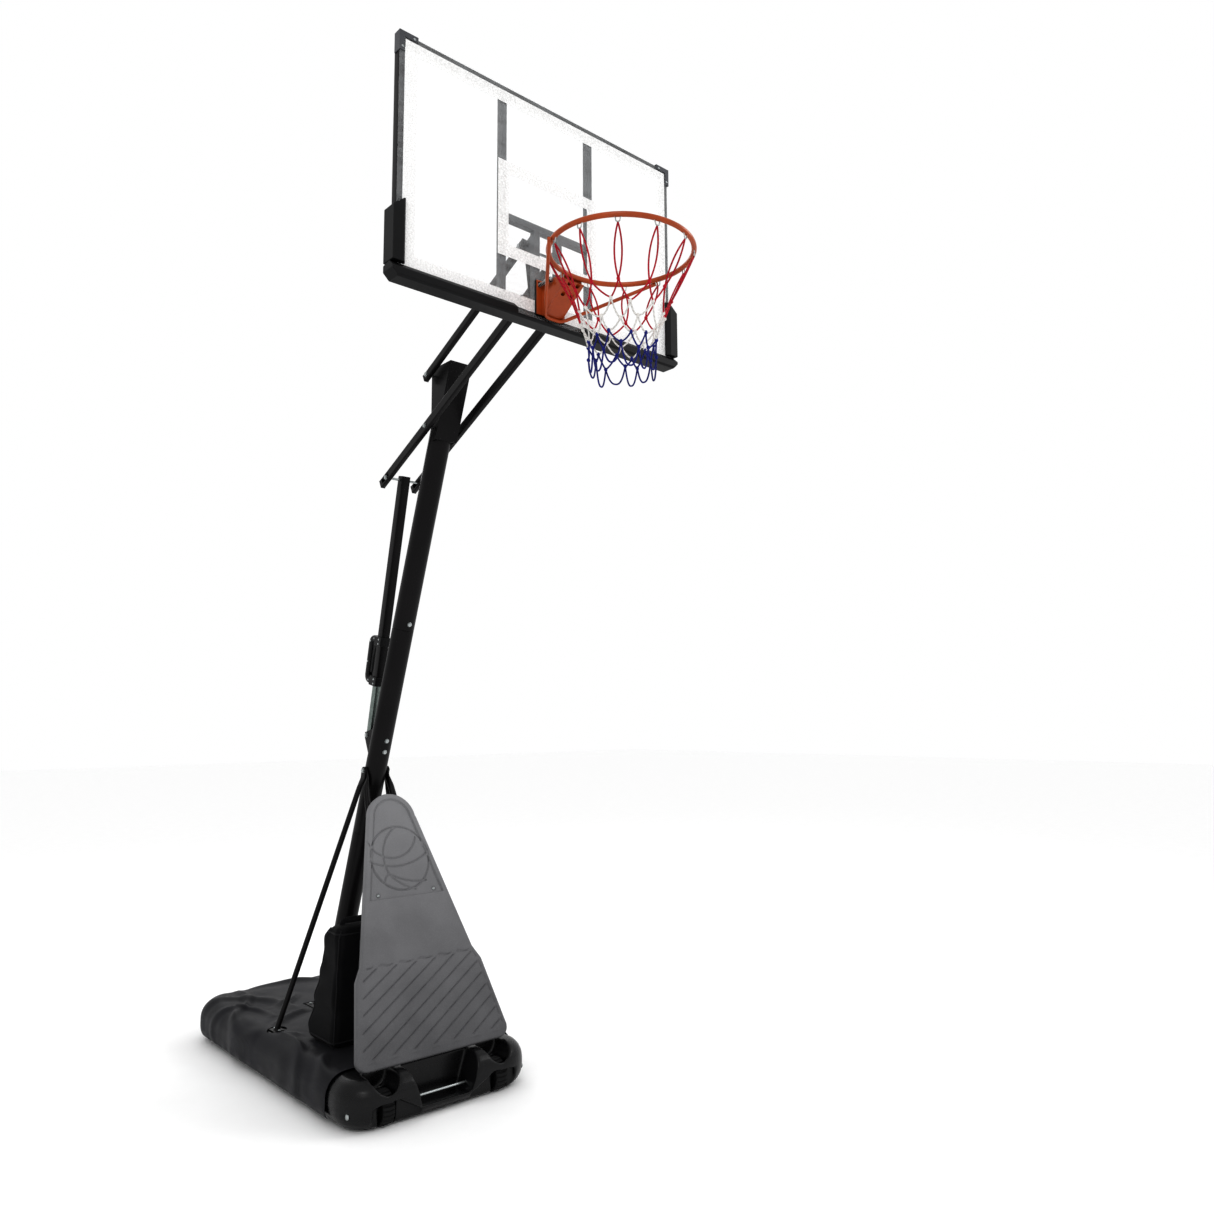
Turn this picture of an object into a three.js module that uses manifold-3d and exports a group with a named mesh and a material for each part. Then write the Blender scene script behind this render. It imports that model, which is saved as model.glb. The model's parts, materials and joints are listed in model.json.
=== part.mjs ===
// A portable basketball hoop: a water-filled base on two wheels, a leaning three-piece pole, a
// parallelogram lift with a telescoping strut and squeeze handle, a 48 by 32 inch backboard, and a
// breakaway rim with its net. Millimetres, +Z up, the rim towards -Y, the floor at z = 0.
import * as THREE from "three";
import { mergeVertices } from "three/addons/utils/BufferGeometryUtils.js";
import Module from "manifold-3d";

const wasm = await Module();
wasm.setup();

// ---- Driving dimensions -------------------------------------------------------------------------

const GAP = 0.3; // between faces that touch on the real object
const RUNNING = 0.6; // radial room round a turning shaft or a bolt's shank
const SIDES = [
  { name: "left", sign: -1 },
  { name: "right", sign: 1 },
];

// Base tank
const TANK_FRONT_Y = -815;
const TANK_REAR_Y = 700;
const TANK_HALF_WIDTH = 395;
const TANK_HEIGHT = 170;
const TANK_EDGE = 70; // how far the rounded side swells past the flat top and bottom
const TANK_EDGE_HEIGHT = 72;
const TANK_CORNER = 60;
const TANK_WALL = 4;
const TANK_CAVITY_FRONT_Y = -575;
const BALLAST_TOP = 128;
const POCKET_FLOOR_HALF_WIDTH = 104; // open tray between the two front lobes
const POCKET_TOP_HALF_WIDTH = 146;
const POCKET_REAR_Y = -705;
const POCKET_LIP_HEIGHT = 42;
const SCOOP_SIZE = [58, 108, 74]; // half sizes of the scoop over each wheel
const SCOOP_REAR_Y = -690;
const LIP_DEPTH = 26; // ledge along the front, over the wheel arches
const LIP_HEIGHT = 86;
const FILL_X = 205;
const FILL_Y = 560;
const FILL_HOLE_RADIUS = 24;
const FILL_CAP_RADIUS = 40;
const FILL_CAP_HEIGHT = 9;
const FILL_BOSS_BOTTOM = 136;

// Wheels
const WHEEL_RADIUS = 60;
const WHEEL_WIDTH = 52;
const WHEEL_X = 240;
const WHEEL_Y = -750;
const WHEEL_ROOM = 8;
const AXLE_RADIUS = 6;
const AXLE_CAP_RADIUS = 11;
const AXLE_CAP_THICKNESS = 6;
const AXLE_INSET = 24; // axle caps inside the tank's widest line, because its corners are round

// Fabric cover and bag
const COVER_OFFSET = 3;
const COVER_THICKNESS = 2.5;
const COVER_FRONT_Y = -640;
const COVER_HEM_Z = 26;
const BAG_X = -165;
const BAG_WIDTH = 210;
const BAG_HEIGHT = 450;
const BAG_FRONT_Y = -425;
const BAG_BOTTOM_DEPTH = 235;
const BAG_TOP_DEPTH = 105;

// Pole: three tubes on one leaning axis, each with a necked top that enters the next
const POLE_LEAN = THREE.MathUtils.degToRad(19.59);
const POLE_FLOOR_Y = 220; // where the axis would meet the floor
const POLE_RADIUS = 44.5;
const POLE_WALL = 2;
const POLE_FOOT_CLEARANCE = 2; // between the foot's plate and the tube's lowest edge
const POLE_JOINTS = [1008, 1910];
const POLE_END = 2990;
const POLE_NECK_LENGTH = 90;
const POLE_NECK_ROOM = 0.5;
const POLE_SIDES = 36;

// Bolts
const BOLT_RADIUS = 5;
const BOLT_HEAD_RADIUS = 8.5;
const BOLT_HEAD_HEIGHT = 6;
const BOLT_SIDES = 12;

// Pole foot and its braces
const FOOT_WIDTH = 150;
const FOOT_LENGTH = 170;
const FOOT_SHEET = 5;
const FOOT_EAR_HEIGHT = 95;
const FOOT_BOLT_Z = 225;
const BRACE_RADIUS = 11;
const BRACE_BOLT_Z = 1210;
const BRACE_FOOT_X = 316;
const BRACE_FOOT_Y = -20;
const PANEL_STRUT_RADIUS = 12.5;
const PANEL_STRUT_FOOT_X = 158;
const PANEL_STRUT_FOOT_Y = -668;
const BRACE_PLATE = [22, 28]; // half sizes of the plate under each foot
const PANEL_STRUT_PLATE = [18, 22];
const LUG_RADIUS = 17;
const LUG_THICKNESS = 6;
const LUG_STRAP = 64; // flattened tube end, from its bolt

// Front panel: a leaning moulded shell with its own bosses
const PANEL_LEAN = THREE.MathUtils.degToRad(24.2);
const PANEL_BOTTOM_Y = -739.8;
const PANEL_BOTTOM_Z = 183.1;
const PANEL_LENGTH = 1024;
const PANEL_HALF_WIDTH = 325;
const PANEL_WAIST = [
  [275, 309],
  [245, 362],
]; // half width and distance up the slope, where the sides step in
const PANEL_TOP_RADIUS = 108;
const PANEL_CORNER = 42;
const PANEL_DEPTH = 24;
const PANEL_WALL = 4;
const PANEL_BOSS_RADIUS = 12;
const PANEL_BOSS_X = 125;
const PANEL_BOSS_ALONG = 611;

// Lift: lower arms on the pole, upper arms above them, pivots in planes of equal X
const ARM_X = 75;
const LOWER_PIVOT_Y = -710;
const LOWER_PIVOT_Z = 2585;
const PIVOT_RISE = 210; // upper pivots above lower ones, at both ends
const UPPER_PIVOT_SHIFT_Y = -5;
const ARM_FRONT_LENGTH = 690;
const ARM_REST_RISE = THREE.MathUtils.degToRad(25.7);
const SLOT_CENTRE_DISTANCE = 348; // rear slot from the lower pivot
const LOWER_ARM_SECTION = [20, 36];
const UPPER_ARM_SECTION = [20, 30];
const ARM_WALL = 2;
const ARM_END = 22; // tube past its last pivot
const PIN_RADIUS = 5;
const PIN_TRAVEL_OUT = 30.5; // of the cross pin in the rear slots, from rest
const PIN_TRAVEL_IN = 15.5;
const PIN_TRAVEL_UP = 8.6;
const SLOT_ROOM = 0.8;

// Bracket folded round the pole's top
const BRACKET_SHEET = 4;
const BRACKET_TOP_Z = 2828;
const BRACKET_BOTTOM_Z = 2532;
const BRACKET_REAR_Y = -700;

// Telescoping strut with its handle; distances run up the strut from its foot bolt
const STRUT_FOOT_Y = -163;
const STRUT_FOOT_Z = 1358;
const STRUT_OUTER = 38;
const STRUT_CLEARANCE = 2; // between the two tubes, each side
const STRUT_WALL = 2;
const STRUT_OUTER_START = 216;
const STRUT_INNER_END = 720;
const STRUT_END = 17;
const STRUT_BRACKET_SHEET = 4;
const HANDLE_LENGTH = 210;
const HANDLE_COLLAR_HEIGHT = 38;
const HANDLE_COLLAR_WALL = 8;
const HANDLE_REACH = 100;
const GRIP_WIDTH = 30;
const GRIP_THICKNESS = 28;
const GRIP_WALL = 7;
const TRIGGER_WIDTH = 14;

// Backboard, placed from the lift's front pivots; rises are above the sheet's bottom edge
const BOARD_WIDTH = 1219;
const BOARD_HEIGHT = 813;
const BOARD_SHEET = 4;
const FRAME_WIDTH = 22;
const FRAME_DEPTH = 30;
const FRAME_WALL = 2;
const BAR_X = 196;
const BAR_WIDTH = 23;
const BAR_DEPTH = 26;
const CROSS_BAR_RISE = 338;
const CENTRE_BAR_X = 50;
const CORNER_CAP_LEG = 66;
const CORNER_CAP_WALL = 3;
const PAD_OVERHANG = 22;
const PAD_INNER = 28; // pad's reach over the sheet, inside the board's edge
const PAD_SIDE_RISE = 250;
const PAD_FRONT = 22; // pad in front of the sheet
const PAD_WALL = 6;
const PAD_NOTCH_HALF_WIDTH = 150;
const PAD_NOTCH_DEPTH = 38;
const FRONT_PIVOT_BACK = 68.257; // lower front pivots behind the sheet's front face
const FRONT_PIVOT_RISE = 72.225;

// Rim
const RING_INNER_RADIUS = 228.6;
const RING_ROD_RADIUS = 8.5;
const RING_RISE = 119;
const RING_CLEARANCE = 150; // from the board to the ring's inner edge
const RIM_BRACKET_HALF_WIDTH = 62;
const RIM_BRACKET_TOP_RISE = 138;
const RIM_BRACKET_BOTTOM_RISE = 10;
const RIM_SHEET = 4;
const RIM_PLATE = 6;
const RIM_BRACE_RADIUS = 6;
const SPRING_RADIUS = 7;
const SPRING_LENGTH = 58;
const NET_LENGTH = 430;
const NET_BOTTOM_RADIUS = 100;
const NET_NECK_RADIUS = 112;
const NET_WALL = 3;
const NET_HOOKS = 12;

// ---- Materials ----------------------------------------------------------------------------------

const paint = (color, roughness, metalness) =>
  new THREE.MeshStandardMaterial({ color, roughness, metalness });
const blackSteel = paint(0x1b191a, 0.45, 0.6);
const blackPlastic = paint(0x161617, 0.35, 0);
const greyPlastic = paint(0x55565a, 0.6, 0);
const greySteel = paint(0x606266, 0.5, 0.5);
const zinc = paint(0xb4bab8, 0.35, 0.9);
const orangeSteel = paint(0xc8501f, 0.4, 0.4);
const acrylic = paint(0xf2f5f7, 0.1, 0);
const water = paint(0x7fa6b8, 0.1, 0);
const navyCloth = paint(0x1d1d29, 0.9, 0);
const blackCloth = paint(0x111214, 0.95, 0);
const rubber = paint(0x202022, 0.8, 0);
const cord = paint(0xc8102e, 0.8, 0);

// ---- Solid helpers ------------------------------------------------------------------------------

/** A closed BufferGeometry as a manifold-3d solid, with its shared vertices merged. */
function toSolid(geometry) {
  const bare = new THREE.BufferGeometry();
  bare.setAttribute("position", geometry.getAttribute("position"));
  if (geometry.index) bare.setIndex(geometry.index);
  const merged = mergeVertices(bare, 1e-3);
  const mesh = new wasm.Mesh({
    numProp: 3,
    vertProperties: merged.attributes.position.array,
    triVerts: new Uint32Array(merged.index.array),
  });
  return new wasm.Manifold(mesh);
}

/** A manifold-3d solid as a BufferGeometry. */
function toGeometry(solid) {
  const mesh = solid.getMesh();
  const stride = mesh.numProp;
  const positions = new Float32Array(mesh.numVert * 3);
  for (let i = 0; i < mesh.numVert; i++) {
    positions.set(mesh.vertProperties.subarray(i * stride, i * stride + 3), i * 3);
  }
  const geometry = new THREE.BufferGeometry();
  geometry.setAttribute("position", new THREE.BufferAttribute(positions, 3));
  geometry.setIndex(new THREE.BufferAttribute(new Uint32Array(mesh.triVerts), 1));
  geometry.computeVertexNormals();
  return geometry;
}

/** The union of closed geometries. */
function join(...geometries) {
  const [first, ...rest] = geometries.map(toSolid);
  return toGeometry(rest.reduce((solid, next) => solid.add(next), first));
}

/** The first closed geometry less all the others. */
function cut(base, ...tools) {
  return toGeometry(tools.map(toSolid).reduce((solid, tool) => solid.subtract(tool), toSolid(base)));
}

/** The part of the first closed geometry that lies inside the second. */
function keepInside(base, limit) {
  return toGeometry(toSolid(base).intersect(toSolid(limit)));
}

/** A box between two opposite corners. */
function boxBetween([x0, y0, z0], [x1, y1, z1]) {
  const geometry = new THREE.BoxGeometry(x1 - x0, y1 - y0, z1 - z0);
  return geometry.translate((x0 + x1) / 2, (y0 + y1) / 2, (z0 + z1) / 2);
}

/** Carries a geometry made along local Z to an origin, with local Z along a direction and local X
 * kept as near as possible to world X. */
function aimed(geometry, origin, direction) {
  const z = direction.clone().normalize();
  const x = new THREE.Vector3(1, 0, 0);
  if (Math.abs(z.x) > 0.9) x.set(0, 1, 0);
  const y = new THREE.Vector3().crossVectors(z, x).normalize();
  x.crossVectors(y, z);
  const matrix = new THREE.Matrix4().makeBasis(x, y, z).setPosition(origin);
  return geometry.applyMatrix4(matrix);
}

/** A profile of [radius, distance] points turned round an axis. */
function turned(profile, sides, origin, direction) {
  const points = profile.map(([radius, along]) => new THREE.Vector2(radius, along));
  const geometry = new THREE.LatheGeometry(points, sides);
  return aimed(geometry.rotateX(Math.PI / 2), origin, direction);
}

/** A round rod between two points. */
function rod(start, end, radius, sides = 12) {
  const length = start.distanceTo(end);
  const profile = [
    [0, 0],
    [radius, 0],
    [radius, length],
    [0, length],
  ];
  return turned(profile, sides, start, end.clone().sub(start));
}

/** A round rod along X. */
function rodX(x0, x1, y, z, radius, sides = BOLT_SIDES) {
  return rod(new THREE.Vector3(x0, y, z), new THREE.Vector3(x1, y, z), radius, sides);
}

/** A closed outline of [y, z] points, extruded along X. */
function extrudeX(outline, x0, x1) {
  const shape = new THREE.Shape(outline.map(([y, z]) => new THREE.Vector2(y, z)));
  const geometry = new THREE.ExtrudeGeometry(shape, { depth: x1 - x0, bevelEnabled: false });
  const [x, y, z] = [new THREE.Vector3(1, 0, 0), new THREE.Vector3(0, 1, 0), new THREE.Vector3(0, 0, 1)];
  const matrix = new THREE.Matrix4().makeBasis(y, z, x).setPosition(x0, 0, 0);
  return geometry.applyMatrix4(matrix);
}

/** A closed outline of [x, z] points, extruded along Y. */
function extrudeY(outline, y0, y1) {
  const shape = new THREE.Shape(outline.map(([x, z]) => new THREE.Vector2(x, z)));
  const geometry = new THREE.ExtrudeGeometry(shape, { depth: y1 - y0, bevelEnabled: false });
  return geometry.rotateX(Math.PI / 2).translate(0, y1, 0);
}

/** A rectangle centred on the origin, with rounded corners, as a Shape. */
function roundedRectangle(width, height, radius) {
  const [w, h, r] = [width / 2, height / 2, radius];
  const shape = new THREE.Shape();
  shape.moveTo(-w + r, -h);
  shape.lineTo(w - r, -h);
  shape.absarc(w - r, -h + r, r, -Math.PI / 2, 0);
  shape.lineTo(w, h - r);
  shape.absarc(w - r, h - r, r, 0, Math.PI / 2);
  shape.lineTo(-w + r, h);
  shape.absarc(-w + r, h - r, r, Math.PI / 2, Math.PI);
  shape.lineTo(-w, -h + r);
  shape.absarc(-w + r, -h + r, r, Math.PI, Math.PI * 1.5);
  shape.closePath();
  return shape;
}

/** A rectangular tube from one point to another, its first side along X, open at both ends. */
function tubeBetween(start, end, [width, height], wall, radius = 4) {
  const shape = roundedRectangle(width, height, radius);
  const inner = roundedRectangle(width - 2 * wall, height - 2 * wall, Math.max(radius - wall, 1));
  shape.holes.push(inner);
  const length = start.distanceTo(end);
  const settings = { depth: length, bevelEnabled: false, curveSegments: 2 };
  const geometry = new THREE.ExtrudeGeometry(shape, settings);
  return aimed(geometry, start, end.clone().sub(start));
}

/** A bolt and nut along X, with its head and nut outside x0 and x1. */
function boltX(x0, x1, y, z) {
  const length = x1 - x0;
  const [head, shank, height] = [BOLT_HEAD_RADIUS, BOLT_RADIUS, BOLT_HEAD_HEIGHT];
  const profile = [
    [0, -height],
    [head, -height],
    [head, 0],
    [shank, 0],
    [shank, length],
    [head, length],
    [head, length + height],
    [0, length + height],
  ];
  return turned(profile, BOLT_SIDES, new THREE.Vector3(x0, y, z), new THREE.Vector3(1, 0, 0));
}

/** The hole for a bolt along X. */
function boltHoleX(x0, x1, y, z, radius = BOLT_RADIUS) {
  return rodX(x0, x1, y, z, radius + RUNNING);
}

const hoop = new THREE.Group();

/** Adds one named piece to the hoop. */
function add(name, geometry, material) {
  const mesh = new THREE.Mesh(geometry, material);
  mesh.name = name;
  hoop.add(mesh);
}

// ---- Shared places ------------------------------------------------------------------------------

const poleAxis = new THREE.Vector3(0, -Math.sin(POLE_LEAN), Math.cos(POLE_LEAN));
const poleRear = new THREE.Vector3(0, Math.cos(POLE_LEAN), Math.sin(POLE_LEAN));
const polePoint = (along, behind = 0) =>
  new THREE.Vector3(0, POLE_FLOOR_Y, 0).addScaledVector(poleAxis, along).addScaledVector(poleRear, behind);
const poleStart =
  (TANK_HEIGHT + GAP + FOOT_SHEET + POLE_FOOT_CLEARANCE + POLE_RADIUS * Math.sin(POLE_LEAN)) /
  Math.cos(POLE_LEAN);
const poleYAt = (z) => POLE_FLOOR_Y - z * Math.tan(POLE_LEAN);
const poleAlongAt = (z) => z / Math.cos(POLE_LEAN);

// In the YZ plane, "ahead" runs forwards along an arm at rest and "over" is square to it, upwards.
const armAhead = new THREE.Vector3(0, -Math.cos(ARM_REST_RISE), Math.sin(ARM_REST_RISE));
const armOver = new THREE.Vector3(0, Math.sin(ARM_REST_RISE), Math.cos(ARM_REST_RISE));
const lowerPivot = new THREE.Vector3(0, LOWER_PIVOT_Y, LOWER_PIVOT_Z);
const upperPivot = new THREE.Vector3(0, LOWER_PIVOT_Y + UPPER_PIVOT_SHIFT_Y, LOWER_PIVOT_Z + PIVOT_RISE);
const lowerFront = lowerPivot.clone().addScaledVector(armAhead, ARM_FRONT_LENGTH);
const upperFront = upperPivot.clone().addScaledVector(armAhead, ARM_FRONT_LENGTH);
const slotCentre = lowerPivot.clone().addScaledVector(armAhead, -SLOT_CENTRE_DISTANCE);
// Forwards is negative travel: the pin rests nearer the pivot than the slot's middle, and low in it.
const crossPin = slotCentre
  .clone()
  .addScaledVector(armAhead, (PIN_TRAVEL_OUT - PIN_TRAVEL_IN) / 2)
  .addScaledVector(armOver, -PIN_TRAVEL_UP / 2);

const strutInner = STRUT_OUTER - 2 * STRUT_WALL - 2 * STRUT_CLEARANCE;
const strutFoot = new THREE.Vector3(0, STRUT_FOOT_Y, STRUT_FOOT_Z);
const strutAxis = crossPin.clone().sub(strutFoot).normalize();
const strutRear = new THREE.Vector3(0, strutAxis.z, -strutAxis.y);
const strutLength = crossPin.distanceTo(strutFoot);
const strutPoint = (along, behind = 0) =>
  strutFoot.clone().addScaledVector(strutAxis, along).addScaledVector(strutRear, behind);

const boardY = lowerFront.y - FRONT_PIVOT_BACK; // the sheet's front face
const boardBottomZ = lowerFront.z - FRONT_PIVOT_RISE;
const crossBarZ = boardBottomZ + CROSS_BAR_RISE;
const padSideTopZ = boardBottomZ + PAD_SIDE_RISE;
const ringZ = boardBottomZ + RING_RISE;
const rimBracketTopZ = boardBottomZ + RIM_BRACKET_TOP_RISE;
const rimBracketBottomZ = boardBottomZ + RIM_BRACKET_BOTTOM_RISE;
const ringCentre = new THREE.Vector3(0, boardY - RING_CLEARANCE - RING_INNER_RADIUS, ringZ);
const ringRadius = RING_INNER_RADIUS + RING_ROD_RADIUS;
const boardTopZ = boardBottomZ + BOARD_HEIGHT;
const frameFrontY = boardY + BOARD_SHEET + GAP;
const barFrontY = frameFrontY;

const axleZ = WHEEL_RADIUS + GAP;
const axleReach = TANK_HALF_WIDTH - AXLE_INSET; // to the inner face of each cap

const armInnerX = ARM_X - LOWER_ARM_SECTION[0] / 2;
const armOuterX = ARM_X + LOWER_ARM_SECTION[0] / 2;
const bracketOuterX = POLE_RADIUS + 1 + BRACKET_SHEET;

// ---- Base ---------------------------------------------------------------------------------------

/** A slab with swelling sides, flat on top and bottom, drawn in by `inset` all round. */
function swollenSlab(inset, bottom, top, frontY, edgeHeight) {
  const edge = TANK_EDGE;
  const halfWidth = TANK_HALF_WIDTH - edge - inset;
  const front = frontY + edge + inset;
  const rear = TANK_REAR_Y - edge - inset;
  const outline = roundedRectangle(2 * halfWidth, rear - front, TANK_CORNER);
  const settings = {
    depth: top - bottom - 2 * edgeHeight,
    bevelThickness: edgeHeight,
    bevelSize: edge,
    bevelSegments: 5,
    curveSegments: 5,
  };
  const geometry = new THREE.ExtrudeGeometry(outline, settings);
  return geometry.translate(0, (front + rear) / 2, bottom + edgeHeight);
}

/** The opening over, round and in front of one wheel, with the hand scoop in the lobe. */
function wheelWell(sign) {
  const half = WHEEL_WIDTH / 2 + WHEEL_ROOM;
  const reach = WHEEL_RADIUS + WHEEL_ROOM;
  const x0 = sign * WHEEL_X - half;
  const x1 = sign * WHEEL_X + half;
  const round = rodX(x0, x1, WHEEL_Y, WHEEL_RADIUS, reach, 20);
  const below = boxBetween([x0, WHEEL_Y - reach, -5], [x1, WHEEL_Y + reach, WHEEL_RADIUS]);
  const lipY = TANK_FRONT_Y - 20;
  const ahead = boxBetween([x0, lipY, -5], [x1, WHEEL_Y, WHEEL_RADIUS + 20]);
  return join(round, below, ahead);
}

/** The scoop behind each front saddle, open downwards to the wheel. */
function scoop(sign) {
  const ball = new THREE.SphereGeometry(1, 20, 12).scale(...SCOOP_SIZE);
  ball.translate(sign * WHEEL_X, WHEEL_Y + 5, TANK_HEIGHT + 2);
  const wide = 2 * TANK_HALF_WIDTH;
  return keepInside(ball, boxBetween([-wide, -2 * wide, 0], [wide, SCOOP_REAR_Y, 2 * TANK_HEIGHT]));
}

/** The recess below each lobe's front ledge; the ledge falls away towards the tray. */
function lipRecess(sign) {
  const inner = POCKET_FLOOR_HALF_WIDTH;
  const outer = WHEEL_X + 62;
  const outline = [
    [outer, -5],
    [outer, LIP_HEIGHT - 2],
    [outer - 102, LIP_HEIGHT + 6],
    [inner, POCKET_LIP_HEIGHT - 6],
    [inner, -5],
  ].map(([x, z]) => [sign * x, z]);
  const front = TANK_FRONT_Y - 20;
  return extrudeY(sign > 0 ? outline.reverse() : outline, front, TANK_FRONT_Y + LIP_DEPTH);
}

function tankGeometry() {
  const outer = swollenSlab(0, 0, TANK_HEIGHT, TANK_FRONT_Y, TANK_EDGE_HEIGHT);
  const cavity = swollenSlab(
    TANK_WALL,
    TANK_WALL,
    TANK_HEIGHT - TANK_WALL,
    TANK_CAVITY_FRONT_Y - TANK_EDGE,
    TANK_EDGE_HEIGHT - TANK_WALL,
  );
  const centre = (z) => new THREE.Vector3(FILL_X, FILL_Y, z);
  const boss = rod(centre(FILL_BOSS_BOTTOM), centre(TANK_HEIGHT - 1), FILL_CAP_RADIUS + 12, 24);
  const recess = rod(centre(TANK_HEIGHT - FILL_CAP_HEIGHT - 2), centre(TANK_HEIGHT + 5), FILL_CAP_RADIUS + 2, 24);
  const hole = rod(centre(FILL_BOSS_BOTTOM - 5), centre(TANK_HEIGHT), FILL_HOLE_RADIUS, 24);
  const pocket = extrudeY(
    [
      [-POCKET_FLOOR_HALF_WIDTH, POCKET_LIP_HEIGHT],
      [POCKET_FLOOR_HALF_WIDTH, POCKET_LIP_HEIGHT],
      [POCKET_TOP_HALF_WIDTH, TANK_HEIGHT + 5],
      [-POCKET_TOP_HALF_WIDTH, TANK_HEIGHT + 5],
    ],
    TANK_FRONT_Y - 20,
    POCKET_REAR_Y,
  );
  const beyond = TANK_HALF_WIDTH + 20;
  const axleHole = rodX(-beyond, beyond, WHEEL_Y, axleZ, AXLE_RADIUS + RUNNING);
  const capRecesses = [
    [-beyond, GAP - axleReach],
    [axleReach - GAP, beyond],
  ].map(([x0, x1]) => rodX(x0, x1, WHEEL_Y, axleZ, AXLE_CAP_RADIUS + RUNNING));
  const shell = cut(outer, cavity);
  return cut(
    join(shell, boss),
    recess,
    hole,
    pocket,
    axleHole,
    ...capRecesses,
    ...SIDES.flatMap(({ sign }) => [wheelWell(sign), scoop(sign), lipRecess(sign)]),
  );
}

function ballastGeometry() {
  const inset = TANK_WALL + 1.5;
  const full = swollenSlab(
    inset,
    inset,
    TANK_HEIGHT - inset,
    TANK_CAVITY_FRONT_Y - TANK_EDGE,
    TANK_EDGE_HEIGHT - inset,
  );
  const wide = 2 * TANK_HALF_WIDTH;
  return keepInside(full, boxBetween([-wide, -2 * wide, 0], [wide, 2 * wide, BALLAST_TOP]));
}

function fillCapGeometry() {
  const seat = TANK_HEIGHT - FILL_CAP_HEIGHT - 2 + GAP;
  const profile = [
    [0, FILL_BOSS_BOTTOM + 4],
    [FILL_HOLE_RADIUS - 0.8, FILL_BOSS_BOTTOM + 4],
    [FILL_HOLE_RADIUS - 0.8, seat],
    [FILL_CAP_RADIUS, seat],
    [FILL_CAP_RADIUS, seat + FILL_CAP_HEIGHT - 2],
    [FILL_CAP_RADIUS - 2, seat + FILL_CAP_HEIGHT],
    [0, seat + FILL_CAP_HEIGHT],
  ];
  return turned(profile, 24, new THREE.Vector3(FILL_X, FILL_Y, 0), new THREE.Vector3(0, 0, 1));
}

/** The fabric skin over the tank, open below, with cut-outs round the steel that stands on it. */
function coverGeometry() {
  const raise = COVER_OFFSET + COVER_THICKNESS;
  const inner = swollenSlab(-COVER_OFFSET, -COVER_OFFSET, TANK_HEIGHT + COVER_OFFSET, TANK_FRONT_Y, TANK_EDGE_HEIGHT + COVER_OFFSET);
  const outer = swollenSlab(-raise, -raise, TANK_HEIGHT + raise, TANK_FRONT_Y, TANK_EDGE_HEIGHT + raise);
  const wide = 2 * TANK_HALF_WIDTH;
  const below = boxBetween([-wide, -2 * wide, -50], [wide, 2 * wide, COVER_HEM_Z]);
  const ahead = boxBetween([-wide, -2 * wide, -50], [wide, COVER_FRONT_Y, TANK_HEIGHT + 50]);
  const footY = poleYAt(TANK_HEIGHT);
  const footHole = boxBetween(
    [-FOOT_WIDTH / 2 - 8, footY - FOOT_LENGTH / 2 - 8, TANK_HEIGHT - 5],
    [FOOT_WIDTH / 2 + 8, footY + FOOT_LENGTH / 2 + 8, TANK_HEIGHT + 30],
  );
  const braceHoles = SIDES.map(({ sign }) =>
    rod(
      new THREE.Vector3(sign * BRACE_FOOT_X, BRACE_FOOT_Y, TANK_HEIGHT - 20),
      new THREE.Vector3(sign * BRACE_FOOT_X, BRACE_FOOT_Y, TANK_HEIGHT + 30),
      Math.hypot(...BRACE_PLATE) + 3,
      16,
    ),
  );
  return cut(outer, inner, below, ahead, footHole, ...braceHoles);
}

function bagGeometry() {
  const floor = TANK_HEIGHT + COVER_OFFSET + COVER_THICKNESS + 1;
  const [front, top] = [BAG_FRONT_Y, floor + BAG_HEIGHT];
  const outline = [
    [front, floor],
    [front + BAG_BOTTOM_DEPTH, floor],
    [front + BAG_BOTTOM_DEPTH, floor + 50],
    [front + BAG_TOP_DEPTH + 45, floor + 0.62 * BAG_HEIGHT],
    [front + BAG_TOP_DEPTH + 20, top - 40],
    [front + BAG_TOP_DEPTH - 20, top],
    [front + 30, top],
    [front, top - 40],
  ];
  return extrudeX(outline, BAG_X - BAG_WIDTH / 2, BAG_X + BAG_WIDTH / 2);
}

function buildBase() {
  add("tank", tankGeometry(), blackPlastic);
  add("ballast_water", ballastGeometry(), water);
  add("fill_cap", fillCapGeometry(), blackPlastic);
  add("base_cover", coverGeometry(), navyCloth);
  add("storage_bag", bagGeometry(), blackCloth);
}

// ---- Wheels -------------------------------------------------------------------------------------

function buildWheels() {
  const reach = axleReach;
  const cap = AXLE_CAP_THICKNESS;
  const profile = [
    [0, -cap],
    [AXLE_CAP_RADIUS, -cap],
    [AXLE_CAP_RADIUS, 0],
    [AXLE_RADIUS, 0],
    [AXLE_RADIUS, 2 * reach],
    [AXLE_CAP_RADIUS, 2 * reach],
    [AXLE_CAP_RADIUS, 2 * reach + cap],
    [0, 2 * reach + cap],
  ];
  const start = new THREE.Vector3(-reach, WHEEL_Y, axleZ);
  add("wheel_axle", turned(profile, BOLT_SIDES, start, new THREE.Vector3(1, 0, 0)), zinc);
  const half = WHEEL_WIDTH / 2;
  const hub = AXLE_RADIUS + RUNNING;
  const tread = [
    [hub, -half],
    [hub + 10, -half],
    [WHEEL_RADIUS - 14, -half + 8],
    [WHEEL_RADIUS - 8, -half + 2],
    [WHEEL_RADIUS, -half + 10],
    [WHEEL_RADIUS, half - 10],
    [WHEEL_RADIUS - 8, half - 2],
    [WHEEL_RADIUS - 14, half - 8],
    [hub + 10, half],
    [hub, half],
    [hub, -half],
  ];
  for (const { name, sign } of SIDES) {
    const centre = new THREE.Vector3(sign * WHEEL_X, WHEEL_Y, axleZ);
    add("wheel_" + name, turned(tread, 32, centre, new THREE.Vector3(1, 0, 0)), rubber);
  }
}

// ---- Pole ---------------------------------------------------------------------------------------

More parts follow.
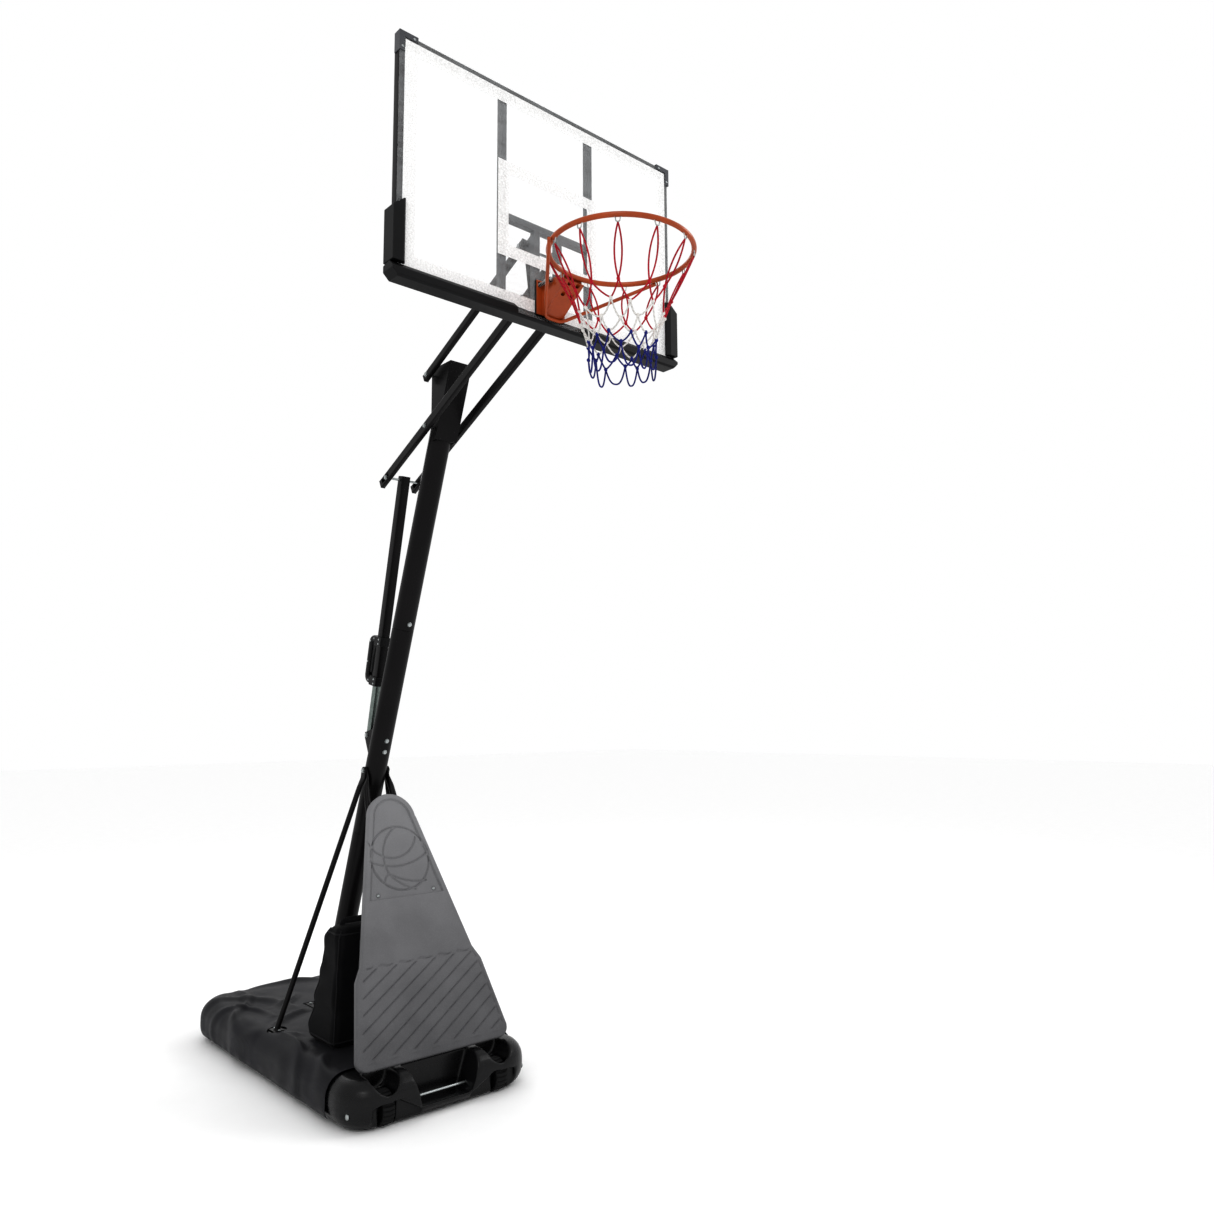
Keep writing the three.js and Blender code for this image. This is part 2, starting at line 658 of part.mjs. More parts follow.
/** One pole tube; a necked top is added when another tube follows. */
function poleTube(start, end, necked) {
  const outer = POLE_RADIUS;
  const inner = POLE_RADIUS - POLE_WALL;
  const neck = inner - POLE_NECK_ROOM;
  const profile = necked
    ? [
        [outer, start],
        [outer, end - 5],
        [neck, end],
        [neck, end + POLE_NECK_LENGTH],
        [neck - POLE_WALL, end + POLE_NECK_LENGTH],
        [neck - POLE_WALL, end],
        [inner, end - 10],
        [inner, start],
        [outer, start],
      ]
    : [
        [outer, start],
        [outer, end],
        [inner, end],
        [inner, start],
        [outer, start],
      ];
  return turned(profile, POLE_SIDES, polePoint(0), poleAxis);
}

/** A hole or bolt straight through the pole along X at a height. */
const poleHoleX = (z, y = poleYAt(z)) => boltHoleX(-80, 80, y, z);

/** A bolt across the pole from front to rear, its head standing on the front. */
function crossBolt(z, rearReach) {
  const head = POLE_RADIUS + GAP;
  const profile = [
    [0, -head - BOLT_HEAD_HEIGHT],
    [BOLT_HEAD_RADIUS, -head - BOLT_HEAD_HEIGHT],
    [BOLT_HEAD_RADIUS, -head],
    [BOLT_RADIUS, -head],
    [BOLT_RADIUS, rearReach],
    [0, rearReach],
  ];
  return turned(profile, BOLT_SIDES, polePoint(poleAlongAt(z)), poleRear);
}

const crossHole = (z, rearReach) =>
  rod(polePoint(poleAlongAt(z), -80), polePoint(poleAlongAt(z), rearReach), BOLT_RADIUS + RUNNING);

const STRUT_BRACKET_BOLTS = [1348, 1302];
const POLE_JOINT_BOLT_Z = 1803;

function buildPole() {
  const [first, second] = POLE_JOINTS;
  const jointBolt = POLE_JOINT_BOLT_Z + 24;
  add(
    "pole_lower",
    cut(poleTube(poleStart, first, true), poleHoleX(FOOT_BOLT_Z)),
    blackSteel,
  );
  add(
    "pole_middle",
    cut(
      poleTube(first + GAP, second, true),
      poleHoleX(BRACE_BOLT_Z),
      crossHole(jointBolt, 80),
      ...STRUT_BRACKET_BOLTS.map((z) => crossHole(z, 80)),
    ),
    blackSteel,
  );
  add(
    "pole_upper",
    cut(
      poleTube(second + GAP, POLE_END, false),
      crossHole(jointBolt, 80),
      poleHoleX(LOWER_PIVOT_Z, LOWER_PIVOT_Y),
      poleHoleX(upperPivot.z, upperPivot.y),
    ),
    blackSteel,
  );
  add("pole_joint_bolt", crossBolt(jointBolt, POLE_RADIUS + 8), zinc);
}

function footGeometry() {
  const footY = poleYAt(TANK_HEIGHT);
  const z0 = TANK_HEIGHT + GAP;
  const plate = boxBetween(
    [-FOOT_WIDTH / 2, footY - FOOT_LENGTH / 2, z0],
    [FOOT_WIDTH / 2, footY + FOOT_LENGTH / 2, z0 + FOOT_SHEET],
  );
  const top = z0 + FOOT_EAR_HEIGHT;
  const outline = [
    [footY - 62, z0 + 1],
    [footY + 62, z0 + 1],
    [poleYAt(top) + 34, top],
    [poleYAt(top) - 34, top],
  ];
  const x0 = POLE_RADIUS + 1;
  const ears = SIDES.map(({ sign }) =>
    sign > 0 ? extrudeX(outline, x0, x0 + FOOT_SHEET) : extrudeX(outline, -x0 - FOOT_SHEET, -x0),
  );
  return cut(join(plate, ...ears), poleHoleX(FOOT_BOLT_Z));
}

/** The strut's bracket: a web on the pole's rear with two ears that hold the foot bolt. */
function strutBracketGeometry() {
  const half = strutInner / 2 + 1.2;
  const sheet = STRUT_BRACKET_SHEET;
  const [upper, lower] = STRUT_BRACKET_BOLTS;
  const faceOn = POLE_RADIUS + GAP;
  const web = new THREE.BoxGeometry(2 * (half + sheet), sheet, 112);
  aimed(web, polePoint(poleAlongAt((upper + lower) / 2 + 8), faceOn + sheet / 2), poleAxis);
  const at = (z, behind) => polePoint(poleAlongAt(z), behind);
  const corner = (z, behind) => {
    const point = at(z, behind);
    return [point.y, point.z];
  };
  const ear = [
    corner(lower - 38, faceOn + 1),
    corner(lower - 38, faceOn + 10),
    [STRUT_FOOT_Y + 15, STRUT_FOOT_Z - 12],
    [STRUT_FOOT_Y + 15, STRUT_FOOT_Z + 12],
    [STRUT_FOOT_Y - 4, STRUT_FOOT_Z + 16],
    corner(upper + 24, faceOn + 1),
  ];
  const ears = [extrudeX(ear, half, half + sheet), extrudeX(ear, -half - sheet, -half)];
  const holes = STRUT_BRACKET_BOLTS.map((z) => crossHole(z, faceOn + sheet + 10));
  const pivot = boltHoleX(-60, 60, STRUT_FOOT_Y, STRUT_FOOT_Z);
  return cut(join(web, ...ears), pivot, ...holes);
}

function buildPoleFittings() {
  add("pole_foot", footGeometry(), blackSteel);
  const footEar = POLE_RADIUS + 1 + FOOT_SHEET + GAP;
  add("pole_foot_bolt", boltX(-footEar, footEar, poleYAt(FOOT_BOLT_Z), FOOT_BOLT_Z), zinc);
  add("strut_bracket", strutBracketGeometry(), blackSteel);
  STRUT_BRACKET_BOLTS.forEach((z, i) => {
    const rearReach = POLE_RADIUS + GAP + STRUT_BRACKET_SHEET + 3;
    add("strut_bracket_bolt_" + (i ? "lower" : "upper"), crossBolt(z, rearReach), zinc);
  });
}

/** The [y, z] corners of a strip that starts at one point and runs towards another. */
function stripOutline(from, to, length, halfWidth) {
  const along = new THREE.Vector2(to.y - from.y, to.z - from.z).normalize();
  const square = new THREE.Vector2(-along.y, along.x);
  const corner = (a, b) => [
    from.y + a * along.x + b * square.x,
    from.z + a * along.y + b * square.y,
  ];
  return [
    corner(0, -halfWidth),
    corner(length, -halfWidth),
    corner(length, halfWidth),
    corner(0, halfWidth),
  ];
}

/** A round brace from a lug on the pole's side bolt down to a plate on the tank. */
function braceGeometry(sign, lugX, footX, footY, radius, plateSize) {
  const bolt = new THREE.Vector3(sign * (lugX + LUG_THICKNESS / 2), poleYAt(BRACE_BOLT_Z), BRACE_BOLT_Z);
  const lugEdge = sign * lugX;
  const x0 = Math.min(lugEdge, lugEdge + sign * LUG_THICKNESS);
  const lug = rodX(x0, x0 + LUG_THICKNESS, bolt.y, bolt.z, LUG_RADIUS, 16);
  const plateZ = TANK_HEIGHT + GAP;
  const foot = new THREE.Vector3(sign * footX, footY, plateZ + 5);
  const towards = foot.clone().sub(bolt).normalize();
  const start = bolt.clone().addScaledVector(towards, LUG_STRAP - 14);
  start.x = sign * (lugX + radius);
  const tube = rod(start, foot, radius, 12);
  const strap = extrudeX(stripOutline(bolt, foot, LUG_STRAP, radius), x0, x0 + LUG_THICKNESS);
  const [px, py] = plateSize;
  const plate = boxBetween([foot.x - px, foot.y - py, plateZ], [foot.x + px, foot.y + py, plateZ + 5]);
  const below = boxBetween([foot.x - 60, foot.y - 60, 0], [foot.x + 60, foot.y + 60, plateZ]);
  const hole = boltHoleX(-120, 120, bolt.y, bolt.z);
  return cut(join(lug, strap, tube, plate), hole, below);
}

const BRACE_LUG_X = POLE_RADIUS + 1 + LUG_THICKNESS + GAP;
const STRUT_LUG_X = POLE_RADIUS + 1;

function buildBraces() {
  for (const { name, sign } of SIDES) {
    const brace = braceGeometry(sign, BRACE_LUG_X, BRACE_FOOT_X, BRACE_FOOT_Y, BRACE_RADIUS, BRACE_PLATE);
    add("brace_" + name, brace, blackSteel);
    const strut = braceGeometry(
      sign,
      STRUT_LUG_X,
      PANEL_STRUT_FOOT_X,
      PANEL_STRUT_FOOT_Y,
      PANEL_STRUT_RADIUS,
      PANEL_STRUT_PLATE,
    );
    add("panel_strut_" + name, strut, blackSteel);
  }
  const reach = BRACE_LUG_X + LUG_THICKNESS + GAP;
  add("brace_bolt", boltX(-reach, reach, poleYAt(BRACE_BOLT_Z), BRACE_BOLT_Z), zinc);
}

// ---- Front panel --------------------------------------------------------------------------------

/** The panel's outline in its own plane, x across and y up the slope, drawn in by `inset`. */
function panelOutline(inset) {
  const half = PANEL_HALF_WIDTH - inset;
  const radius = PANEL_TOP_RADIUS - inset;
  const top = PANEL_LENGTH - PANEL_TOP_RADIUS;
  const corner = PANEL_CORNER - inset / 2;
  const shape = new THREE.Shape();
  shape.moveTo(-half + corner, inset);
  shape.lineTo(half - corner, inset);
  shape.absarc(half - corner, inset + corner, corner, -Math.PI / 2, 0.17);
  for (const [x, along] of PANEL_WAIST) shape.lineTo(x - inset, along);
  shape.absarc(0, top, radius, 0.23, Math.PI - 0.23);
  for (const [x, along] of [...PANEL_WAIST].reverse()) shape.lineTo(inset - x, along);
  shape.absarc(-half + corner, inset + corner, corner, Math.PI - 0.17, Math.PI * 1.5);
  shape.closePath();
  return shape;
}

function panelGeometry() {
  const settings = {
    depth: PANEL_DEPTH - 12,
    bevelThickness: 6,
    bevelSize: 6,
    bevelOffset: -6,
    bevelSegments: 2,
    curveSegments: 8,
  };
  const outer = new THREE.ExtrudeGeometry(panelOutline(0), settings).translate(0, 0, 6);
  const hollowSettings = { depth: PANEL_DEPTH, bevelEnabled: false, curveSegments: 8 };
  const hollow = new THREE.ExtrudeGeometry(panelOutline(PANEL_WALL + 3), hollowSettings);
  hollow.translate(0, 0, -PANEL_WALL);
  const bosses = SIDES.map(({ sign }) => {
    const boss = new THREE.CylinderGeometry(PANEL_BOSS_RADIUS, PANEL_BOSS_RADIUS, PANEL_DEPTH - 2, 12);
    boss.rotateX(Math.PI / 2);
    return boss.translate(sign * PANEL_BOSS_X, PANEL_BOSS_ALONG, PANEL_DEPTH / 2);
  });
  // Local +Z is the panel's front face; the slab is turned so that it faces -Y and leans back.
  const geometry = join(cut(outer, hollow), ...bosses);
  geometry.translate(0, 0, -PANEL_DEPTH);
  geometry.rotateX(Math.PI / 2 - PANEL_LEAN);
  return geometry.translate(0, PANEL_BOTTOM_Y, PANEL_BOTTOM_Z);
}

// ---- Lift ---------------------------------------------------------------------------------------

function topBracketGeometry() {
  const lean = Math.tan(POLE_LEAN);
  const outer = (POLE_RADIUS + 1 + BRACKET_SHEET) / Math.cos(POLE_LEAN);
  const inner = (POLE_RADIUS + 1) / Math.cos(POLE_LEAN);
  const frontY = (z, offset) => POLE_FLOOR_Y - z * lean - offset;
  const outline = (offset, bottom, top) => [
    [frontY(bottom, offset), bottom],
    [BRACKET_REAR_Y, bottom],
    [BRACKET_REAR_Y, top],
    [frontY(top, offset), top],
  ];
  const body = extrudeX(outline(outer, BRACKET_BOTTOM_Z, BRACKET_TOP_Z), -bracketOuterX, bracketOuterX);
  const openTo = BRACKET_REAR_Y + 60;
  const room = [
    [frontY(BRACKET_BOTTOM_Z - 20, inner), BRACKET_BOTTOM_Z - 20],
    [openTo, BRACKET_BOTTOM_Z - 20],
    [openTo, BRACKET_TOP_Z + 20],
    [frontY(BRACKET_TOP_Z + 20, inner), BRACKET_TOP_Z + 20],
  ];
  const inside = extrudeX(room, -POLE_RADIUS - 1, POLE_RADIUS + 1);
  const pivots = [lowerPivot, upperPivot].map((p) => boltHoleX(-90, 90, p.y, p.z));
  return cut(body, inside, ...pivots);
}

/** One arm tube past its pivots, with its holes cut. */
function armGeometry(sign, start, end, section, holes) {
  const shift = new THREE.Vector3(sign * ARM_X, 0, 0);
  const tube = tubeBetween(start.clone().add(shift), end.clone().add(shift), section, ARM_WALL);
  return cut(tube, ...holes);
}

/** The rear slot that the cross pin travels in. */
function slotGeometry() {
  const halfAlong = (PIN_TRAVEL_OUT + PIN_TRAVEL_IN) / 2 + PIN_RADIUS + SLOT_ROOM;
  const halfOver = PIN_TRAVEL_UP / 2 + PIN_RADIUS + SLOT_ROOM;
  const corners = [
    [-1, -1],
    [1, -1],
    [1, 1],
    [-1, 1],
  ].map(([along, over]) => {
    const point = slotCentre.clone();
    point.addScaledVector(armAhead, -along * halfAlong).addScaledVector(armOver, over * halfOver);
    return [point.y, point.z];
  });
  return extrudeX(corners, -150, 150);
}

function buildLift() {
  add("top_bracket", topBracketGeometry(), blackSteel);
  const hole = (p) => boltHoleX(-150, 150, p.y, p.z);
  const rearEnd = lowerPivot
    .clone()
    .addScaledVector(armAhead, -SLOT_CENTRE_DISTANCE - (PIN_TRAVEL_OUT + PIN_TRAVEL_IN) / 2 - ARM_END);
  const lowerEnd = lowerFront.clone().addScaledVector(armAhead, ARM_END);
  const upperStart = upperPivot.clone().addScaledVector(armAhead, -ARM_END);
  const upperEnd = upperFront.clone().addScaledVector(armAhead, ARM_END);
  for (const { name, sign } of SIDES) {
    const lowerHoles = [hole(lowerPivot), hole(lowerFront), slotGeometry()];
    add("lower_arm_" + name, armGeometry(sign, rearEnd, lowerEnd, LOWER_ARM_SECTION, lowerHoles), blackSteel);
    const upperHoles = [hole(upperPivot), hole(upperFront)];
    add("upper_arm_" + name, armGeometry(sign, upperStart, upperEnd, UPPER_ARM_SECTION, upperHoles), blackSteel);
  }
  const reach = armOuterX + GAP + 0.5;
  add("lower_pivot_bolt", boltX(-reach, reach, lowerPivot.y, lowerPivot.z), zinc);
  add("upper_pivot_bolt", boltX(-reach, reach, upperPivot.y, upperPivot.z), zinc);
}

// ---- Strut and handle ---------------------------------------------------------------------------

/** A closed outline of [along the strut, behind it] points, extruded along X. */
function strutExtrude(outline, x0, x1) {
  const corners = outline.map(([along, behind]) => {
    const point = strutPoint(along, behind);
    return [point.y, point.z];
  });
  // Along and behind turn the other way round to y and z, so the order is reversed.
  return extrudeX(corners.reverse(), x0, x1);
}

const handleStart = STRUT_OUTER_START;
const handleEnd = STRUT_OUTER_START + HANDLE_LENGTH;
const collarBack = STRUT_OUTER / 2 + HANDLE_COLLAR_WALL + 4;

function collarGeometry(start) {
  const half = STRUT_OUTER / 2 + GAP;
  const wide = half + HANDLE_COLLAR_WALL;
  const end = start + HANDLE_COLLAR_HEIGHT;
  const block = strutExtrude(
    [
      [start, -wide],
      [end, -wide],
      [end, collarBack],
      [start, collarBack],
    ],
    -wide,
    wide,
  );
  const bore = strutExtrude(
    [
      [start - 5, -half],
      [end + 5, -half],
      [end + 5, half],
      [start - 5, half],
    ],
    -half,
    half,
  );
  return cut(block, bore);
}

/** The C-shaped grip behind the strut, from collar to collar, with the trigger's channel inside. */
function gripGeometry() {
  const near = collarBack + GAP;
  const far = HANDLE_REACH;
  const thick = GRIP_THICKNESS;
  const [s0, s1] = [handleStart, handleEnd];
  const outline = [
    [s0, near],
    [s0, far - 40],
    [s0 + 12, far - 14],
    [s0 + 38, far],
    [s1 - 38, far],
    [s1 - 12, far - 14],
    [s1, far - 40],
    [s1, near],
    [s1 - thick, near],
    [s1 - thick, far - thick - 14],
    [s1 - thick - 14, far - thick],
    [s0 + thick + 18, far - thick],
    [s0 + thick, far - thick - 18],
    [s0 + thick, near],
  ];
  const body = strutExtrude(outline, -GRIP_WIDTH / 2, GRIP_WIDTH / 2);
  const half = TRIGGER_WIDTH / 2 + 1;
  const channel = [
    [s0 + thick + 4, far - thick - 20],
    [s0 + thick + 4, far - GRIP_WALL],
    [s1 - 30, far - GRIP_WALL],
    [s1 - GRIP_WALL - 1, far - 28],
    [s1 - GRIP_WALL - 1, near + 4],
    [s1 - thick - 5, near + 4],
  ];
  return cut(body, strutExtrude(channel, -half, half));
}

// The trigger hangs in the channel from its pivot near the top; distances from that pivot.
const triggerPivotAlong = handleEnd - 22;
const triggerPivotBehind = HANDLE_REACH - 42;

function triggerGeometry() {
  const outline = [
    [8, -12],
    [8, 12],
    [-14, 26],
    [-104, 20],
    [-142, 12],
    [-142, 2],
    [-133, -4],
    [-99, -2],
    [-82, 0],
    [-56, -8],
    [-46, -6],
    [-16, -15],
    [-8, -17],
  ].map(([along, behind]) => [triggerPivotAlong + along, triggerPivotBehind + behind]);
  return strutExtrude(outline, -TRIGGER_WIDTH / 2, TRIGGER_WIDTH / 2);
}

function buildStrut() {
  const outerTop = strutLength + STRUT_END;
  const pivot = boltHoleX(-60, 60, STRUT_FOOT_Y, STRUT_FOOT_Z);
  const inner = tubeBetween(
    strutPoint(-STRUT_END),
    strutPoint(STRUT_INNER_END),
    [strutInner, strutInner],
    STRUT_WALL,
    3,
  );
  add("strut_inner", cut(inner, pivot), zinc);
  const outer = tubeBetween(
    strutPoint(STRUT_OUTER_START),
    strutPoint(outerTop),
    [STRUT_OUTER, STRUT_OUTER],
    STRUT_WALL,
    3,
  );
  add("strut_outer", cut(outer, boltHoleX(-60, 60, crossPin.y, crossPin.z, PIN_RADIUS)), blackSteel);
  const earReach = strutInner / 2 + 1.2 + STRUT_BRACKET_SHEET + GAP;
  add("strut_foot_bolt", boltX(-earReach, earReach, STRUT_FOOT_Y, STRUT_FOOT_Z), zinc);
  const pinReach = armOuterX + 1;
  add("cross_pin", boltX(-pinReach, pinReach, crossPin.y, crossPin.z), zinc);
  add("handle_collar_lower", collarGeometry(handleStart), blackPlastic);
  add("handle_collar_upper", collarGeometry(handleEnd - HANDLE_COLLAR_HEIGHT), blackPlastic);
  add("handle_grip", gripGeometry(), blackPlastic);
  add("handle_trigger", triggerGeometry(), blackPlastic);
}

// ---- Backboard ----------------------------------------------------------------------------------

/** A rectangular frame tube between two points in the board's rear plane, along X or Z. */
function boardTube(start, end, width, depth, frontY, wall = FRAME_WALL) {
  const y = frontY + depth / 2;
  const [x0, z0] = start;
  const [x1, z1] = end;
  const section = z0 === z1 ? [depth, width] : [width, depth];
  return tubeBetween(new THREE.Vector3(x0, y, z0), new THREE.Vector3(x1, y, z1), section, wall, 2);
}

function frameBoard() {
  const half = BOARD_WIDTH / 2;
  const mid = FRAME_WIDTH / 2;
  const [bottom, top] = [boardBottomZ + mid, boardTopZ - mid];
  const ends = half - FRAME_WIDTH - GAP;
  add("frame_top", boardTube([-ends, top], [ends, top], FRAME_WIDTH, FRAME_DEPTH, frameFrontY), blackSteel);
  add("frame_bottom", boardTube([-ends, bottom], [ends, bottom], FRAME_WIDTH, FRAME_DEPTH, frameFrontY), blackSteel);
  for (const { name, sign } of SIDES) {
    const x = sign * (half - mid);
    const side = boardTube([x, boardBottomZ], [x, boardTopZ], FRAME_WIDTH, FRAME_DEPTH, frameFrontY);
    add("frame_" + name, side, blackSteel);
    const barX = sign * BAR_X;
    const [low, high] = [boardBottomZ + FRAME_WIDTH + GAP, boardTopZ - FRAME_WIDTH - GAP];
    add("bar_" + name, boardTube([barX, low], [barX, high], BAR_WIDTH, BAR_DEPTH, barFrontY), greySteel);
  }
}

/** Cross bar, two centre bars and four pivot lugs, welded into one carrier between the long bars. */
function carrierGeometry() {
  const reach = BAR_X - BAR_WIDTH / 2 - GAP;
  const y0 = barFrontY;
  const y1 = barFrontY + BAR_DEPTH;
  const half = BAR_WIDTH / 2;
  const cross = boxBetween([-reach, y0, crossBarZ - half], [reach, y1, crossBarZ + half]);
  const bottom = boardBottomZ + FRAME_WIDTH + GAP;
  const pieces = [];
  const lugX = CENTRE_BAR_X + half - 4;
  const outline = (p) => [
    [y1 - 1, p.z - 34],
    [p.y + 4, p.z - 16],
    [p.y + 15, p.z - 6],
    [p.y + 15, p.z + 6],
    [p.y + 4, p.z + 16],
    [y1 - 1, p.z + 34],
  ];
  for (const { sign } of SIDES) {
    const x = sign * CENTRE_BAR_X;
    pieces.push(boxBetween([x - half, y0, bottom], [x + half, y1, crossBarZ]));
    for (const p of [lowerFront, upperFront]) {
      const x0 = sign > 0 ? lugX : -lugX - 4;
      pieces.push(extrudeX(outline(p), x0, x0 + 4));
    }
  }
  const holes = [lowerFront, upperFront].map((p) => boltHoleX(-150, 150, p.y, p.z));
  return cut(join(cross, ...pieces), ...holes);
}

/** A corner cap: an angle over the board's top corner, on its front, top and side. */
function cornerCap(sign) {
  const half = BOARD_WIDTH / 2 + GAP;
  const wall = CORNER_CAP_WALL;
  const leg = CORNER_CAP_LEG;
  const top = boardTopZ + GAP;
  const y0 = boardY - GAP - wall;
  const y1 = frameFrontY + FRAME_DEPTH - 4;
  const outline = [
    [half + wall, top + wall],
    [half - leg, top + wall],
    [half - leg, top - 16],
    [half - 16, top - 16],
    [half - 16, top - leg],
    [half + wall, top - leg],
  ];
  const body = extrudeY(outline, y0, y1);
  const board = boxBetween([-half, y0 + wall, boardBottomZ], [half, y1 + 5, top]);
  const cap = cut(body, board);
  return sign > 0 ? cap : mirroredX(cap);
}

/** A mirror image across the plane x = 0, with its faces turned back outwards. */
function mirroredX(geometry) {
  const mirrored = geometry.clone().scale(-1, 1, 1);
  const index = mirrored.index.array;
  for (let i = 0; i < index.length; i += 3) {
    [index[i + 1], index[i + 2]] = [index[i + 2], index[i + 1]];
  }
  return mirrored;
}

/** The lower pad: a channel round the board's bottom edge, cut down in the middle for the rim. */
function padBottomGeometry() {
  const half = BOARD_WIDTH / 2 + PAD_OVERHANG;
  const low = boardBottomZ - PAD_OVERHANG;
  const high = boardBottomZ + PAD_INNER;
  const y0 = boardY - PAD_FRONT;
  const y1 = frameFrontY + FRAME_DEPTH + PAD_WALL;
  const section = [
    [y0 + 6, low],
    [y1, low],
    [y1, high - 6],
    [boardY - GAP, high],
    [y0, high - 20],
    [y0, low + 6],
  ];
  const chamfer = 26;
  const blank = extrudeX(section, -half, half);
  const inside = half - chamfer;
  const corners = SIDES.map(({ sign }) => {
    const outline = [
      [sign * inside, low - 5],
      [sign * (half + 5), low - 5],
      [sign * (half + 5), low + chamfer],
    ];
    return extrudeY(sign > 0 ? outline : outline.reverse(), y0 - 5, y1 + 5);
  });
  const boardHalf = BOARD_WIDTH / 2 + GAP;
  const slot = boxBetween(
    [-boardHalf, boardY - GAP, boardBottomZ - GAP],
    [boardHalf, frameFrontY + FRAME_DEPTH + GAP, high + 10],
  );
  const notch = boxBetween(
    [-PAD_NOTCH_HALF_WIDTH, y0 - 5, high - PAD_NOTCH_DEPTH],
    [PAD_NOTCH_HALF_WIDTH, y1 + 5, high + 5],
  );
  return cut(blank, slot, notch, ...corners);
}

/** One side pad, standing on the lower pad, its top slanting up towards the board's middle. */
function padSideGeometry(sign) {
  const half = BOARD_WIDTH / 2;
  const x0 = half - PAD_INNER;
  const x1 = half + PAD_OVERHANG;
  const y0 = boardY - PAD_FRONT;
  const y1 = frameFrontY + FRAME_DEPTH + PAD_WALL;
  const low = boardBottomZ + PAD_INNER + GAP;
  const blank = boxBetween([x0, y0, low], [x1, y1, padSideTopZ]);
  const slant = extrudeY(
    [
      [x0 - 5, padSideTopZ + 2],
      [x1 + 5, padSideTopZ - 46],
      [x1 + 5, padSideTopZ + 20],
      [x0 - 5, padSideTopZ + 20],
    ],
    y0 - 5,
    y1 + 5,
  );
  const bevel = new THREE.ExtrudeGeometry(
    new THREE.Shape([
      new THREE.Vector2(x0 - 5, y0 - 5),
      new THREE.Vector2(x0 + 14, y0 - 5),
      new THREE.Vector2(x0 - 5, boardY - 1),
    ]),
    { depth: padSideTopZ - low + 20, bevelEnabled: false },
  ).translate(0, 0, low - 10);
  const slot = boxBetween(
    [x0 - 10, boardY - GAP, low - 10],
    [half + GAP, frameFrontY + FRAME_DEPTH + GAP, padSideTopZ + 10],
  );
  const back = boxBetween([x0 - 10, frameFrontY + FRAME_DEPTH, low - 10], [half - FRAME_WIDTH, y1 + 5, padSideTopZ + 10]);
  const pad = cut(blank, slot, slant, bevel, back);
  return sign > 0 ? pad : mirroredX(pad);
}

function buildBoard() {
  const half = BOARD_WIDTH / 2;
  const sheet = boxBetween([-half, boardY, boardBottomZ], [half, boardY + BOARD_SHEET, boardTopZ]);
  add("backboard_sheet", sheet, acrylic);
  frameBoard();
  add("board_carrier", carrierGeometry(), greySteel);
  const reach = armOuterX + GAP + 0.5;
  add("front_pivot_bolt_lower", boltX(-reach, reach, lowerFront.y, lowerFront.z), zinc);
  add("front_pivot_bolt_upper", boltX(-reach, reach, upperFront.y, upperFront.z), zinc);
  add("pad_bottom", padBottomGeometry(), blackPlastic);
  for (const { name, sign } of SIDES) {
    add("corner_cap_" + name, cornerCap(sign), greyPlastic);
    add("pad_" + name, padSideGeometry(sign), blackPlastic);
  }
}

// ---- Rim ----------------------------------------------------------------------------------------

const rimHingeY = boardY - RIM_PLATE - 4;
const rimHingeZ = rimBracketBottomZ + 6;
const springX = 51;
const springZ = rimBracketTopZ - 18;

/** The folded cover under the ring's root: a rear flange, sides, a top and a sloping front. */
function rimBracketGeometry() {
  const rear = boardY - RIM_PLATE - 1.2;
  const flange = rear - RIM_SHEET;
  const nose = ringCentre.y + ringRadius + RING_ROD_RADIUS + GAP;
  const [top, bottom] = [rimBracketTopZ, rimBracketBottomZ];
  const half = RIM_BRACKET_HALF_WIDTH;
  const flangePlate = boxBetween([-half, flange, bottom + 4], [half, rear, top]);
  const inner = half - 23;
  const outline = [
    [flange + 1, bottom + 4],
    [flange - 10, bottom],
    [nose - 14, ringZ - 20],
    [nose, ringZ - 12],
    [nose, ringZ + 7],
    [flange + 1, top - 4],
  ];
  const room = [
    [flange + 2, bottom + 10],
    [flange - 12, bottom + 7],
    [nose + 12, ringZ - 16],
    [nose + 12, ringZ + 1],
    [flange + 2, top - 9],
  ];
  const body = extrudeX(outline.reverse(), -inner, inner);
  const hollow = extrudeX(room.reverse(), -inner + RIM_SHEET, inner - RIM_SHEET);
  const behind = boxBetween([-inner + RIM_SHEET, flange - 3, bottom + 12], [inner - RIM_SHEET, rear + 5, top - 10]);
  const slots = SIDES.map(({ sign }) =>
    boxBetween(
      [sign * springX - BOLT_RADIUS - 1.5, flange - 5, springZ - BOLT_RADIUS - 2],
      [sign * springX + BOLT_RADIUS + 1.5, rear + 5, springZ + BOLT_RADIUS + 8],
    ),
  );
  return cut(join(flangePlate, cut(body, hollow)), behind, ...slots);
}

/** The ring with its hooks below it and the brace rod that runs under the bracket. */
function ringGeometry() {
  const ring = new THREE.TorusGeometry(ringRadius, RING_ROD_RADIUS, 10, 60);
  ring.translate(ringCentre.x, ringCentre.y, ringCentre.z);
  const hooks = [];
  for (let i = 0; i < NET_HOOKS; i++) {
    const angle = ((i + 0.5) / NET_HOOKS) * 2 * Math.PI;
    const hook = new THREE.TorusGeometry(8, 2, 4, 10);
    hook.rotateX(Math.PI / 2).rotateZ(angle + Math.PI / 2);
    hook.translate(
      ringCentre.x + ringRadius * Math.cos(angle),
      ringCentre.y + ringRadius * Math.sin(angle),
      ringZ - RING_ROD_RADIUS - 4,
    );
    hooks.push(hook);
  }
  return join(ring, ...hooks);
}

